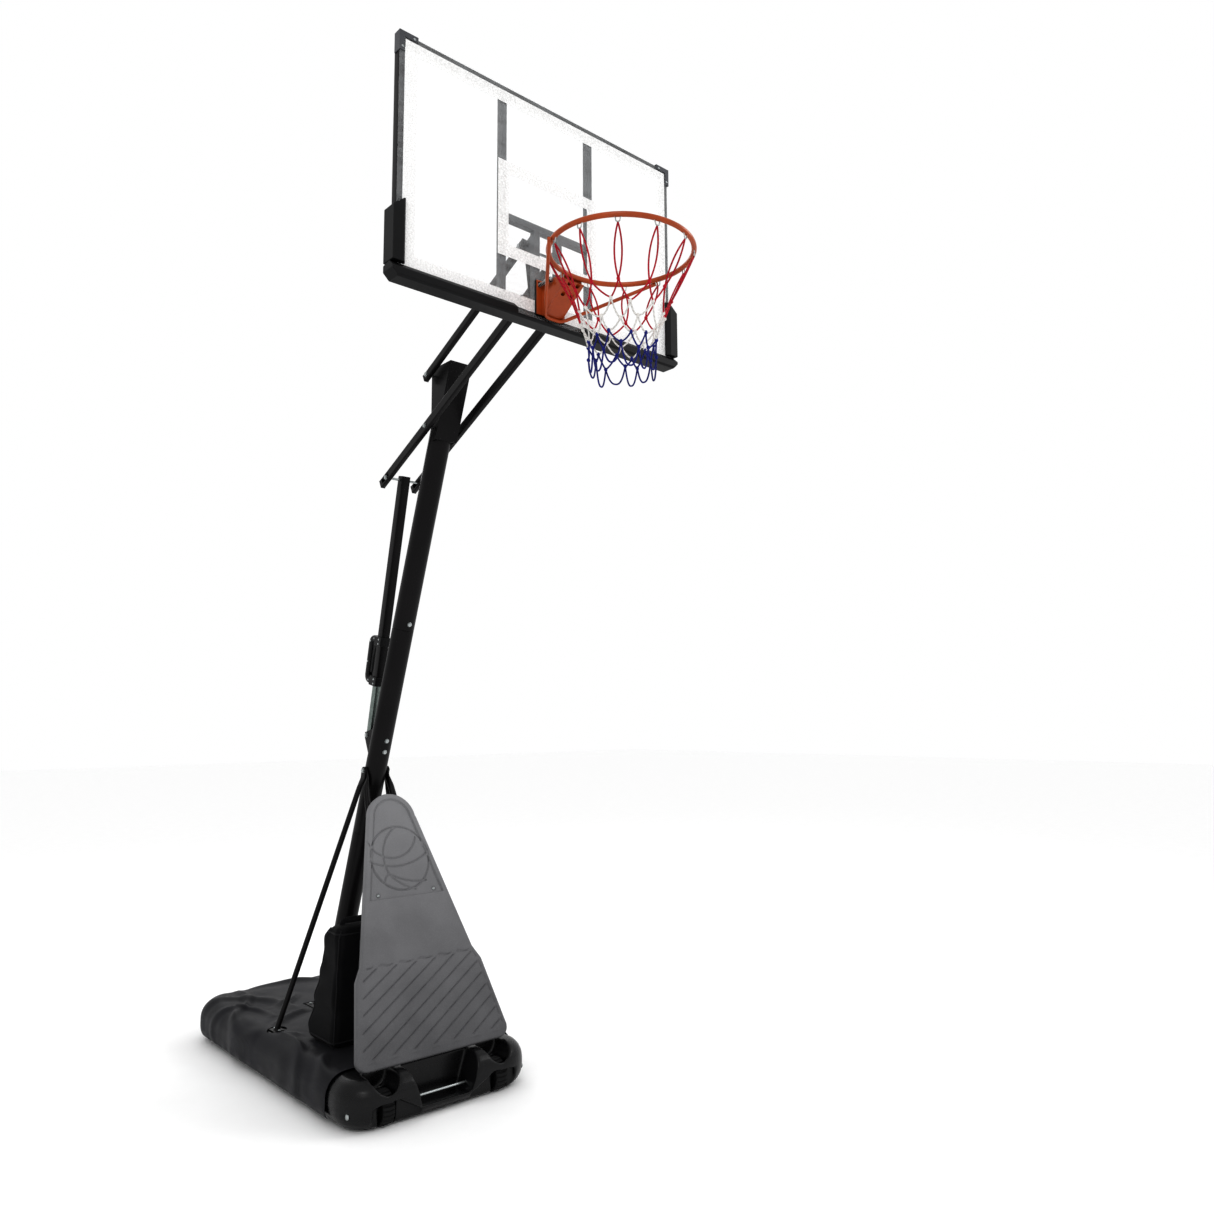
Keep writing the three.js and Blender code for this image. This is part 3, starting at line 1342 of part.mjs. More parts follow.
/** The bent rod from the ring's left side, under the bracket, to its right side. */
function rimBraceGeometry() {
  const endAngle = THREE.MathUtils.degToRad(17);
  const side = new THREE.Vector3(
    (ringRadius + RING_ROD_RADIUS + RIM_BRACE_RADIUS + GAP) * Math.cos(endAngle),
    ringCentre.y + (ringRadius + RING_ROD_RADIUS + RIM_BRACE_RADIUS + GAP) * Math.sin(endAngle),
    ringZ - 6,
  );
  const low = new THREE.Vector3(36, boardY - 24, rimBracketBottomZ - RIM_BRACE_RADIUS - GAP);
  const points = [
    new THREE.Vector3(-side.x, side.y, side.z),
    new THREE.Vector3(-low.x, low.y, low.z),
    low,
    side,
  ];
  const path = new THREE.CurvePath();
  for (let i = 0; i + 1 < points.length; i++) path.add(new THREE.LineCurve3(points[i], points[i + 1]));
  const rods = path.curves.map((line) => rod(line.v1, line.v2, RIM_BRACE_RADIUS, 10));
  const elbows = [points[1], points[2]].map((p) =>
    new THREE.SphereGeometry(RIM_BRACE_RADIUS, 10, 6).translate(p.x, p.y, p.z),
  );
  return join(...rods, ...elbows);
}

function springGeometry(sign) {
  const rear = boardY - RIM_PLATE - 1.2 - RIM_SHEET - GAP;
  const bore = BOLT_RADIUS - 1 + RUNNING;
  const profile = [
    [bore, 0],
    [SPRING_RADIUS, 0],
    [SPRING_RADIUS, SPRING_LENGTH],
    [bore, SPRING_LENGTH],
    [bore, 0],
  ];
  return turned(profile, 12, new THREE.Vector3(sign * springX, rear, springZ), new THREE.Vector3(0, -1, 0));
}

/** The rim's mounting plate with the two long spring bolts standing out of it. */
function rimPlateGeometry() {
  const half = RIM_BRACKET_HALF_WIDTH + 2;
  const plate = boxBetween(
    [-half, boardY - GAP - RIM_PLATE, rimBracketBottomZ + 2],
    [half, boardY - GAP, rimBracketTopZ + 2],
  );
  const shank = BOLT_RADIUS - 1;
  const start = boardY - GAP - 2;
  const end = boardY - RIM_PLATE - 1.2 - RIM_SHEET - 2 * GAP - SPRING_LENGTH;
  const bolts = SIDES.flatMap(({ sign }) => {
    const at = (y) => new THREE.Vector3(sign * springX, y, springZ);
    return [rod(at(start), at(end - 4), shank), rod(at(end), at(end - 6), BOLT_HEAD_RADIUS)];
  });
  return join(plate, ...bolts);
}

/** The net as a thin open sleeve that narrows downwards. */
function netGeometry() {
  const top = -RING_ROD_RADIUS - 14;
  const neck = -0.55 * NET_LENGTH;
  const upper = RING_INNER_RADIUS - 4;
  const profile = [
    [NET_BOTTOM_RADIUS, -NET_LENGTH],
    [NET_NECK_RADIUS, neck],
    [upper - 60, 0.3 * neck],
    [upper, top],
    [upper - NET_WALL, top],
    [upper - 60 - NET_WALL, 0.3 * neck],
    [NET_NECK_RADIUS - NET_WALL, neck],
    [NET_BOTTOM_RADIUS - NET_WALL, -NET_LENGTH],
    [NET_BOTTOM_RADIUS, -NET_LENGTH],
  ];
  return turned(profile, 24, ringCentre, new THREE.Vector3(0, 0, 1));
}

function buildRim() {
  add("rim_plate", rimPlateGeometry(), orangeSteel);
  add("rim_bracket", rimBracketGeometry(), orangeSteel);
  add("rim_ring", ringGeometry(), orangeSteel);
  add("rim_brace", rimBraceGeometry(), orangeSteel);
  for (const { name, sign } of SIDES) {
    add("rim_spring_" + name, springGeometry(sign), zinc);
  }
  add("net", netGeometry(), cord);
}

// ---- Assembly -----------------------------------------------------------------------------------

buildBase();
buildWheels();
buildPole();
buildPoleFittings();
buildBraces();
add("front_panel", panelGeometry(), greyPlastic);
buildLift();
buildStrut();
buildBoard();
buildRim();

export default hoop;
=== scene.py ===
"""The finished look of a portable basketball hoop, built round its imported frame.

Metres, +Z up, the rim towards -Y and the floor at z = 0. Each sub-assembly is a class: it takes its
places from the frame, works its surfaces out as numpy arrays and dresses them in its finishes.
"""

import json
import logging
import math
from dataclasses import dataclass, field
from enum import Enum
from typing import Iterable, Sequence

import bmesh
import bpy
import numpy as np
from mathutils import Matrix, Vector

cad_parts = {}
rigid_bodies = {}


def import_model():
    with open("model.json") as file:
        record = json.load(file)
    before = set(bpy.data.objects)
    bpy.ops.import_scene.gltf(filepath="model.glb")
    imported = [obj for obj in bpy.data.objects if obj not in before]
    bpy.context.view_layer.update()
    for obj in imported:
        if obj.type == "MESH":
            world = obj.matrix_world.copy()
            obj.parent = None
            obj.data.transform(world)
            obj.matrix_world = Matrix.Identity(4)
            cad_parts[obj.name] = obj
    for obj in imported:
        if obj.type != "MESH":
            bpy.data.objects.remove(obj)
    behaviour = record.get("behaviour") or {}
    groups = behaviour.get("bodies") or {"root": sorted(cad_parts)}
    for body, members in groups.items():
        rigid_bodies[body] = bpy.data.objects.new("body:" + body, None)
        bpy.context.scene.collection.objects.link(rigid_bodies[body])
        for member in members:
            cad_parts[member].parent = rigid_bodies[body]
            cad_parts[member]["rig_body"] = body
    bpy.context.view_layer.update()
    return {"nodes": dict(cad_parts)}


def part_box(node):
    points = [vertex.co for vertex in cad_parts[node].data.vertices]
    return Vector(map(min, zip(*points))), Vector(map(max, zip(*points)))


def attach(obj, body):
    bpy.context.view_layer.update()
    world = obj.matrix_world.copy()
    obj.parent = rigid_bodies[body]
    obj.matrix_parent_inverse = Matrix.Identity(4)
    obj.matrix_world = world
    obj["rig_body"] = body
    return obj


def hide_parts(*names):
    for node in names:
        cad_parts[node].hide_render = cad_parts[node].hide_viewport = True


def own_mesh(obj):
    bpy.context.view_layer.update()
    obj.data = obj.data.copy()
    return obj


LOG = logging.getLogger("hoop")
MM = 0.001
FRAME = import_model()


# ---- Surfaces -----------------------------------------------------------------------------------


@dataclass
class Surface:
    """Points, faces and flat coordinates of a shape that isn't in Blender yet."""

    points: np.ndarray
    faces: list[list[int]]
    uv: np.ndarray | None = None


def joined(parts: Iterable[Surface]) -> Surface:
    """One surface that holds several.

    Args:
        parts: the surfaces, in order.

    Returns:
        A surface whose points and faces are theirs, one after another.
    """
    parts = list(parts)
    offsets = np.cumsum([0] + [len(part.points) for part in parts[:-1]])
    faces = [
        [int(corner + offset) for corner in face] for part, offset in zip(parts, offsets)
        for face in part.faces
    ]
    uv = [np.zeros((len(part.points), 2)) if part.uv is None else part.uv for part in parts]
    return Surface(np.concatenate([part.points for part in parts]), faces, np.concatenate(uv))


def unit(vectors: np.ndarray) -> np.ndarray:
    """Vectors scaled to length one, along their last axis."""
    vectors = np.asarray(vectors, float)
    return vectors / np.maximum(np.linalg.norm(vectors, axis=-1, keepdims=True), 1e-12)


def grid(
    points: np.ndarray, around: bool = False, along: bool = False, capped: bool = False,
    uv: np.ndarray | None = None
) -> Surface:
    """A surface over two parameters: one quad between each four neighbouring points.

    Args:
        points: an array of rows by columns by 3.
        around: whether the last column joins the first.
        along: whether the last row joins the first.
        capped: whether the first and last rows are closed with a flat face.
        uv: flat coordinates, rows by columns by 2.

    Returns:
        The surface.
    """
    rows, columns = points.shape[:2]
    i, j = np.meshgrid(
        np.arange(rows if along else rows - 1), np.arange(columns if around else columns - 1), indexing="ij"
    )
    below, beside = (i + 1) % rows, (j + 1) % columns
    quads = np.stack(
        [i * columns + j, i * columns + beside, below * columns + beside, below * columns + j], -1
    )
    faces = quads.reshape(-1, 4).tolist()
    if capped:
        faces.append(list(range(columns))[::-1])
        faces.append([(rows - 1) * columns + k for k in range(columns)])
    return Surface(points.reshape(-1, 3), faces, None if uv is None else uv.reshape(-1, 2))


def circle(radius: float, sides: int) -> np.ndarray:
    """Points evenly round a circle, as sides by 2."""
    angle = np.linspace(0, 2 * np.pi, sides, endpoint=False)
    return radius * np.stack([np.cos(angle), np.sin(angle)], -1)


def rounded_rect(width: float, height: float, radius: float, steps: int = 4) -> np.ndarray:
    """A rectangle about the origin whose corners are quarter circles.

    Args:
        width: its size along the first axis.
        height: its size along the second axis.
        radius: the corners' radius.
        steps: spans in each corner.

    Returns:
        Points round the outline, counter-clockwise.
    """
    centres = np.array([[1, 1], [-1, 1], [-1, -1], [1, -1]]) * [width / 2 - radius, height / 2 - radius]
    angle = np.linspace(0, np.pi / 2, steps + 1)[None, :] + (np.arange(4) * np.pi / 2)[:, None]
    corner = radius * np.stack([np.cos(angle), np.sin(angle)], -1)
    return (centres[:, None, :] + corner).reshape(-1, 2)


def sweep(
    path: np.ndarray, profile: np.ndarray, up: Sequence[float] | np.ndarray = (1, 0, 0), closed: bool = False
) -> Surface:
    """A profile carried square to a path: point = path + first * side + second * (tangent x side).

    Args:
        path: the points it follows, as n by 3.
        profile: the section, m by 2, or one for each point of the path, n by m by 2.
        up: the direction, or a direction at each point, that the section's first axis keeps near.
        closed: whether the path returns to its start.

    Returns:
        The swept surface, its ends closed unless the path is.
    """
    path = np.asarray(path, float)
    tangent = unit(np.roll(path, -1, 0) - np.roll(path, 1, 0) if closed else np.gradient(path, axis=0))
    ups = np.broadcast_to(np.asarray(up, float), path.shape)
    side = unit(ups - (ups * tangent).sum(-1, keepdims=True) * tangent)
    over = np.cross(tangent, side)
    sections = np.broadcast_to(profile, (len(path), *np.shape(profile)[-2:]))
    points = path[:, None] + sections[..., :1] * side[:, None] + sections[..., 1:] * over[:, None]
    run = np.concatenate([[0], np.cumsum(np.linalg.norm(np.diff(path, axis=0), axis=1))])
    share = np.linspace(0, 1, sections.shape[1], endpoint=False)
    uv = np.stack(np.meshgrid(run, share, indexing="ij"), -1)
    return grid(points, around=True, along=closed, capped=not closed, uv=uv)


def tube(
    path: np.ndarray, radius: float, sides: int = 16, up: Sequence[float] | np.ndarray = (1, 0, 0)
) -> Surface:
    """A round rod along a path."""
    return sweep(path, circle(radius, sides), up)


def lathe(
    profile: Sequence[Sequence[float]], origin: Sequence[float], axis: Sequence[float], sides: int = 48,
    closed: bool = False
) -> Surface:
    """A profile turned round an axis: point = origin + along * axis + radius * (cos * a + sin * b).

    Args:
        profile: radius and distance along the axis, point by point.
        origin: where distance is zero.
        axis: its direction.
        sides: steps round.
        closed: whether the profile closes on itself rather than ending on the axis.

    Returns:
        The turned surface.
    """
    radius, along = np.asarray(profile, float).T
    z = unit(np.asarray(axis, float))
    a = unit(np.cross(z, [0.0, 0.0, 1.0] if abs(z[2]) < 0.9 else [1.0, 0.0, 0.0]))
    b = np.cross(z, a)
    ring = circle(1, sides) @ np.stack([a, b])
    points = np.asarray(origin, float) + along[:, None, None] * z + radius[:, None, None] * ring[None]
    return grid(points, around=True, along=closed)


def bent(corners: Sequence[Sequence[float]], radius: float, steps: int = 8) -> np.ndarray:
    """A path of straight runs with a rounded bend at each corner, a parabola between its two runs.

    Args:
        corners: the points where the runs would meet.
        radius: how far before and after a corner its bend starts.
        steps: spans in each bend.

    Returns:
        The path's points.
    """
    corners = np.asarray(corners, float)
    t = np.linspace(0, 1, steps + 1)[:, None]
    path = [corners[:1]]
    for before, corner, after in zip(corners[:-2], corners[1:-1], corners[2:]):
        reach = min(radius, 0.49 * np.linalg.norm(corner - before), 0.49 * np.linalg.norm(after - corner))
        a, b = corner + reach * unit(before - corner), corner + reach * unit(after - corner)
        path.append((1 - t) ** 2 * a + 2 * t * (1 - t) * corner + t**2 * b)
    return np.concatenate([*path, corners[-1:]])


def block(
    start: Sequence[float], end: Sequence[float], width: float, height: float, radius: float,
    up: Sequence[float] = (1, 0, 0)
) -> Surface:
    """A bar with every edge rounded: the section shrinks by radius * (1 - sin) towards each end.

    Args:
        start: the middle of its first end.
        end: the middle of its other end.
        width: its size along up.
        height: its size square to up.
        radius: the edges' radius.
        up: the direction that the width keeps near.

    Returns:
        The closed bar.
    """
    start, end = np.asarray(start, float), np.asarray(end, float)
    turn = np.linspace(0.05, np.pi / 2, 5)
    inset = radius * (1 - np.sin(turn))
    depth = radius * (1 - np.cos(turn))
    ahead = unit(end - start)
    path = np.concatenate([start + depth[:, None] * ahead, (end - depth[:, None] * ahead)[::-1]])
    scale = np.concatenate([inset, inset[::-1]])
    sections = np.stack([rounded_rect(width - 2 * s, height - 2 * s, radius) for s in scale])
    return sweep(path, sections, up)


def hex_bolt(
    seat: Sequence[float], far: Sequence[float], radius: float, head: float, height: float, nut: bool = True
) -> Surface:
    """A hexagon bolt with a washer at its head, and a washer and nut at its other end.

    Args:
        seat: where the head's washer bears.
        far: where the nut's washer bears, or where a bolt without a nut ends.
        radius: the shank's radius.
        head: the hexagon's corner radius.
        height: the head's height with its washer.
        nut: whether the far end has a nut.

    Returns:
        The bolt as one surface of closed shells.
    """
    seat, far = np.asarray(seat, float), np.asarray(far, float)
    out, length = unit(seat - far), float(np.linalg.norm(far - seat))
    thin = 1.3 * MM
    washer = [[0, 0], [head * 1.15, 0], [head * 1.15, thin * 0.7], [head * 1.08, thin], [0, thin]]
    cap = [
        [0, thin], [head * 0.94, thin], [head, thin + 0.4 * MM], [head, height - 0.9 * MM],
        [head * 0.86, height], [0, height]
    ]
    shank = [
        [0, 0.5 * MM], [radius, 0.5 * MM], [radius, -length - (4 * MM if nut else 0)],
        [0, -length - (4.8 * MM if nut else 0.6 * MM)]
    ]
    parts = [lathe(washer, seat, out), lathe(cap, seat, out, 6), lathe(shank, seat, out, 20)]
    if nut:
        parts += [lathe(washer, far, -out), lathe(cap, far, -out, 6)]
    return joined(parts)


# ---- Finishes -----------------------------------------------------------------------------------


def linear(colour: str) -> tuple[float, float, float, float]:
    """An sRGB hex colour as linear red, green, blue and full opacity."""
    channels = [int(colour[i : i + 2], 16) / 255 for i in (1, 3, 5)]
    return (*[c / 12.92 if c <= 0.04045 else ((c + 0.055) / 1.055) ** 2.4 for c in channels], 1.0)


def add_node(
    tree: bpy.types.NodeTree, kind: str, settings: dict | None = None, inputs: dict | None = None
) -> bpy.types.Node:
    """Adds a node, sets its properties, and links or sets its inputs.

    Args:
        tree: the node tree.
        kind: the node's type name.
        settings: property names and values.
        inputs: input names or numbers, each with a socket to link or a value.

    Returns:
        The node.
    """
    node = tree.nodes.new(kind)
    for name, value in (settings or {}).items():
        setattr(node, name, value)
    for name, value in (inputs or {}).items():
        if isinstance(value, bpy.types.NodeSocket):
            tree.links.new(value, node.inputs[name])
        else:
            node.inputs[name].default_value = value
    return node


class Pattern(Enum):
    """How a finish varies over its surface."""

    GRAIN = "fine stipple of a sprayed or moulded skin"
    PEBBLE = "rounded cells of a textured mould"
    BRUSHED = "drawn streaks along Z"
    SPANGLE = "crystal patches of hot-dipped zinc"
    WEAVE = "crossing threads along the piece's own flat coordinates"
    BRAID = "slanting strands round a cord"
    STREAKS = "faint wiped streaks in a clear sheet"


@dataclass(frozen=True)
class Finish:
    """A material: two colours, a pattern of a real size, and how the surface takes light."""

    name: str
    colour: str
    shade: str
    pattern: Pattern
    size_mm: float
    relief_mm: float
    roughness: tuple[float, float]
    metallic: float = 0.0
    specular: float = 0.5
    coat: float = 0.0
    sheen: float = 0.0
    alpha: float = 1.0
    clouds_mm: float = 140.0
    # Painted light: a Z range over which the colour is painted lighter towards the top, standing in for light
    # falling from above.
    painted_top_light: tuple[float, float] | None = None
    slot: str = ""

    def height(self, tree: bpy.types.NodeTree) -> bpy.types.NodeSocket:
        """The pattern's height, from 0 to 1.

        Args:
            tree: the material's node tree.

        Returns:
            The socket that gives it.
        """
        where = add_node(tree, "ShaderNodeTexCoord")
        per_metre = 1000 / self.size_mm
        if self.pattern in (Pattern.WEAVE, Pattern.BRAID):
            flat = where.outputs["UV"]
            if self.pattern is Pattern.BRAID:
                lay = add_node(
                    tree, "ShaderNodeMapping", {}, {"Vector": flat, "Scale": (1, self.size_mm * MM * 2, 1)}
                )
                flat = lay.outputs[0]
            # A wave's period is 0.314 over its scale.
            bands = [
                add_node(
                    tree, "ShaderNodeTexWave", {"bands_direction": direction},
                    {"Vector": flat, "Scale": 0.314 * per_metre, "Distortion": 0.6}
                )
                for direction in (("X", "Y") if self.pattern is Pattern.WEAVE else ("DIAGONAL", "DIAGONAL"))
            ]
            return add_node(
                tree, "ShaderNodeMath", {"operation": "MULTIPLY"},
                {0: bands[0].outputs["Fac"], 1: bands[1].outputs["Fac"]}
            ).outputs[0]
        if self.pattern is Pattern.PEBBLE:
            cells = add_node(
                tree, "ShaderNodeTexVoronoi", {}, {"Vector": where.outputs["Object"], "Scale": per_metre}
            )
            return cells.outputs["Distance"]
        if self.pattern is Pattern.SPANGLE:
            cells = add_node(
                tree, "ShaderNodeTexVoronoi", {}, {"Vector": where.outputs["Object"], "Scale": per_metre}
            )
            return add_node(tree, "ShaderNodeRGBToBW", {}, {0: cells.outputs["Color"]}).outputs[0]
        stretch = {
            Pattern.BRUSHED: (1, 1, 0.04), Pattern.STREAKS: (0.25, 1, 1.6)
        }.get(self.pattern, (1, 1, 1))
        lay = add_node(tree, "ShaderNodeMapping", {}, {"Vector": where.outputs["Object"], "Scale": stretch})
        noise = add_node(
            tree, "ShaderNodeTexNoise", {},
            {"Vector": lay.outputs[0], "Scale": per_metre, "Detail": 4.0, "Roughness": 0.55}
        )
        return noise.outputs[0]

    def material(self) -> bpy.types.Material:
        """Builds the material once, and returns it.

        Returns:
            The material.
        """
        if self.name in bpy.data.materials:
            return bpy.data.materials[self.name]
        made = bpy.data.materials.new(self.name)
        made.use_nodes = True
        tree = made.node_tree
        tree.nodes.clear()
        height = self.height(tree)
        where = add_node(tree, "ShaderNodeTexCoord")
        clouds = add_node(
            tree, "ShaderNodeTexNoise", {},
            {"Vector": where.outputs["Object"], "Scale": 1000 / self.clouds_mm, "Detail": 3.0}
        )
        both = add_node(
            tree, "ShaderNodeMath", {"operation": "MULTIPLY_ADD"}, {0: height, 1: 0.45, 2: clouds.outputs[0]}
        )
        share = add_node(
            tree, "ShaderNodeMapRange", {}, {"Value": both.outputs[0], "From Min": 0.45, "From Max": 1.0}
        )
        tint = share.outputs[0]
        # Painted light: over this Z range the mix moves towards the lighter colour, a painted highlight for
        # the light on the top.
        if self.painted_top_light:
            place = add_node(tree, "ShaderNodeSeparateXYZ", {}, {0: where.outputs["Object"]})
            rise = add_node(
                tree, "ShaderNodeMapRange", {},
                {"Value": place.outputs[2], "From Min": self.painted_top_light[0], "From Max": self.painted_top_light[1]}
            )
            tint = add_node(
                tree, "ShaderNodeMath", {"operation": "MULTIPLY_ADD", "use_clamp": True},
                {0: tint, 1: 0.25, 2: rise.outputs[0]}
            ).outputs[0]
        colour = add_node(
            tree, "ShaderNodeMix", {"data_type": "RGBA"},
            {0: tint, 6: linear(self.colour), 7: linear(self.shade)}
        )
        low, high = self.roughness
        rough = add_node(
            tree, "ShaderNodeMapRange", {},
            {"Value": both.outputs[0], "From Min": 0.35, "From Max": 1.1, "To Min": low, "To Max": high}
        )
        bump = add_node(
            tree, "ShaderNodeBump", {}, {"Height": height, "Distance": self.relief_mm * MM, "Strength": 1.0}
        )
        shader = add_node(
            tree,
            "ShaderNodeBsdfPrincipled",
            {},
            {
                "Base Color": colour.outputs[2],
                "Roughness": rough.outputs[0],
                "Metallic": self.metallic,
                "Specular IOR Level": self.specular,
                "Coat Weight": self.coat,
                "Coat Roughness": 0.2,
                "Sheen Weight": self.sheen,
                "Sheen Roughness": 0.45,
                "Normal": bump.outputs[0],
            },
        )
        if self.alpha < 1:
            opacity = add_node(
                tree, "ShaderNodeMapRange", {},
                {
                    "Value": height, "From Min": 0.35, "From Max": 0.7, "To Min": self.alpha * 0.75,
                    "To Max": self.alpha * 1.25
                }
            )
            tree.links.new(opacity.outputs[0], shader.inputs["Alpha"])
        add_node(tree, "ShaderNodeOutputMaterial", {}, {0: shader.outputs[0]})
        return made


# Polyester powder coat: a sprayed black with faint orange peel, so its gloss breaks up.
POWDER_BLACK = Finish(
    "powder_coated_steel_black", "#0b0a0b", "#161416", Pattern.GRAIN, 3.0, 0.06, (0.28, 0.44),
    specular=0.22, slot="black_steel"
)
# Blow-moulded polyethylene: a waxy black skin with a soft pebble and uneven gloss.
BLOWN_BLACK = Finish(
    "blow_moulded_polyethylene_black", "#070708", "#111113", Pattern.PEBBLE, 5.0, 0.1, (0.2, 0.38),
    specular=0.38, slot="tank_plastic"
)
# Injection-moulded ABS with a spark-eroded texture, its colour painted lighter towards its top as painted
# light falling from above.
PANEL_GREY = Finish(
    "injection_moulded_abs_grey", "#4f4f51", "#868688", Pattern.PEBBLE, 3.5, 0.12, (0.45, 0.62),
    specular=0.25, painted_top_light=(0.1, 1.25), slot="panel_plastic"
)
# Coated polyester cloth: a near-black navy whose threads catch a faint lilac sheen. Threads drawn at 4 mm.
COVER_NAVY = Finish(
    "coated_polyester_cloth_navy", "#06060d", "#0f0f1a", Pattern.WEAVE, 4.0, 0.25, (0.42, 0.6), sheen=0.06,
    specular=0.22, slot="cover_cloth"
)
# Plain-woven polyester bag cloth, matt. Threads drawn at 4 mm so that they show.
BAG_BLACK = Finish(
    "woven_polyester_cloth_black", "#070709", "#121215", Pattern.WEAVE, 4.0, 0.3, (0.65, 0.85), sheen=0.04,
    specular=0.15, slot="bag_cloth"
)
# Woven nylon webbing with a tight rib.
WEBBING = Finish(
    "woven_nylon_webbing_black", "#101013", "#1c1c20", Pattern.WEAVE, 3.0, 0.35, (0.55, 0.75), sheen=0.06,
    specular=0.25, slot="bag_cloth"
)
# Moulded hard rubber: dull, dusty black.
WHEEL_RUBBER = Finish(
    "moulded_rubber_black", "#0c0c0d", "#1b1b1c", Pattern.GRAIN, 2.0, 0.15, (0.5, 0.75), specular=0.25,
    slot="wheel_plastic"
)
# Electroplated zinc: bright, slightly blue, brushed by handling.
ZINC = Finish(
    "zinc_plated_steel_bright", "#c4c8c8", "#959a9a", Pattern.GRAIN, 1.5, 0.04, (0.2, 0.36), metallic=1.0,
    slot="zinc"
)
# Pre-galvanised tube: grey-green zinc with a faint spangle.
GALVANISED = Finish(
    "pre_galvanised_steel_tube", "#8e9793", "#6c7672", Pattern.SPANGLE, 9.0, 0.02, (0.26, 0.42),
    metallic=1.0, slot="zinc_tube"
)
# Glass-filled nylon, fine spark texture: dry black that shines where hands rub it.
HANDLE_NYLON = Finish(
    "moulded_nylon_black", "#09090a", "#151517", Pattern.GRAIN, 1.2, 0.1, (0.3, 0.5), specular=0.28,
    slot="handle_plastic"
)
# Clear acrylic sheet with the faint haze of wiping and light scratches.
ACRYLIC = Finish(
    "cast_acrylic_clear", "#ffffff", "#eef2f4", Pattern.STREAKS, 30.0, 0.01, (0.04, 0.12), specular=0.5,
    alpha=0.1, slot="acrylic"
)
# Screen-printed ink: near-opaque matt white with slight unevenness.
PRINT_WHITE = Finish(
    "screen_printed_ink_white", "#f4f4f3", "#f0f0f0", Pattern.GRAIN, 6.0, 0.02, (0.45, 0.6), alpha=0.8,
    slot="acrylic"
)
# Mill-finish steel under thin grey paint.
BAR_GREY = Finish(
    "painted_steel_grey", "#424345", "#4b4c4e", Pattern.GRAIN, 4.0, 0.05, (0.38, 0.55), specular=0.3,
    slot="grey_steel"
)
# Soft polyethylene edge padding, moulded smooth.
PAD_BLACK = Finish(
    "moulded_polyethylene_padding_black", "#0b0b0c", "#19191b", Pattern.PEBBLE, 4.0, 0.1, (0.38, 0.56),
    specular=0.25, slot="pad_plastic"
)
# ABS corner caps, mid grey with a fine texture.
CAP_GREY = Finish(
    "moulded_abs_mid_grey", "#454649", "#5d5e62", Pattern.PEBBLE, 3.0, 0.08, (0.4, 0.55), specular=0.3,
    slot="cap_plastic"
)
# Orange-red powder coat: glossy, with orange peel and darker thin spots.
RIM_ORANGE = Finish(
    "powder_coated_steel_orange", "#b3521d", "#8f3e14", Pattern.GRAIN, 4.0, 0.08, (0.26, 0.42),
    specular=0.4, coat=0.1, slot="orange_steel"
)
# Braided nylon cord in three dyes. A strand crosses the cord every 7 mm.
CORD_RED = Finish(
    "braided_nylon_cord_red", "#b80c2a", "#8a081e", Pattern.BRAID, 7.0, 0.4, (0.55, 0.75), sheen=0.05,
    specular=0.3, slot="net_cord"
)
CORD_WHITE = Finish(
    "braided_nylon_cord_white", "#dedcd8", "#b9b7b4", Pattern.BRAID, 7.0, 0.4, (0.55, 0.75), sheen=0.05,
    specular=0.3, slot="net_cord"
)
CORD_BLUE = Finish(
    "braided_nylon_cord_blue", "#131d7c", "#0d1452", Pattern.BRAID, 7.0, 0.4, (0.55, 0.75), sheen=0.05,
    specular=0.3, slot="net_cord"
)
# Still water inside the tank: pale and glossy.
WATER = Finish(
    "ballast_water", "#7fa6b8", "#9cc0cd", Pattern.GRAIN, 60.0, 0.5, (0.03, 0.08), alpha=0.6, slot="water"
)
# Seamless studio floor: matt white card.
FLOOR_CARD = Finish(
    "matt_card_white", "#fcfcfc", "#fefefe", Pattern.GRAIN, 25.0, 0.02, (0.85, 0.95), specular=0.1
)


# ---- Putting surfaces into Blender --------------------------------------------------------------


def dress(
    made: bpy.types.Object, finish: Finish, body: str, replaced: Sequence[str] = ()
) -> bpy.types.Object:
    """Gives a piece its finish and its body, and hides the CAD nodes that it stands for.

    Args:
        made: the piece, in place.
        finish: its finish.
        body: the body that it rides on.
        replaced: the CAD nodes that it stands for.

    Returns:
        The piece.
    """
    made.data.materials.clear()
    made.data.materials.append(finish.material())
    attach(made, body)
    if replaced:
        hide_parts(*replaced)
    LOG.info("%s: %d faces on %s", made.name, len(made.data.polygons), body)
    return made


def smooth(mesh: bpy.types.Mesh, angle: float) -> None:
    """Shades a mesh smooth, with sharp edges where faces meet at more than an angle in degrees."""
    mesh.polygons.foreach_set("use_smooth", np.ones(len(mesh.polygons), bool))
    mesh.set_sharp_from_angle(angle=math.radians(angle))


def raw_object(name: str, surface: Surface, open_shell: bool = False) -> bpy.types.Object:
    """A surface as an object, its doubles merged and, where it is closed, its faces outward.

    Args:
        name: the object's name.
        surface: the surface.
        open_shell: whether it keeps its own face order because it has no inside yet.

    Returns:
        The object, linked to the scene.
    """
    mesh = bpy.data.meshes.new(name)
    mesh.from_pydata(surface.points.tolist(), [], surface.faces)
    if surface.uv is not None:
        corners = np.empty(len(mesh.loops), np.int32)
        mesh.loops.foreach_get("vertex_index", corners)
        mesh.uv_layers.new(name="UVMap").data.foreach_set(
            "uv", surface.uv[corners].astype(np.float32).ravel()
        )
    work = bmesh.new()
    work.from_mesh(mesh)
    bmesh.ops.remove_doubles(work, verts=work.verts, dist=1e-6)
    bmesh.ops.dissolve_degenerate(work, edges=work.edges, dist=1e-7)
    if not open_shell:
        bmesh.ops.recalc_face_normals(work, faces=work.faces)
    work.to_mesh(mesh)
    work.free()
    made = bpy.data.objects.new(name, mesh)
    bpy.context.scene.collection.objects.link(made)
    return made


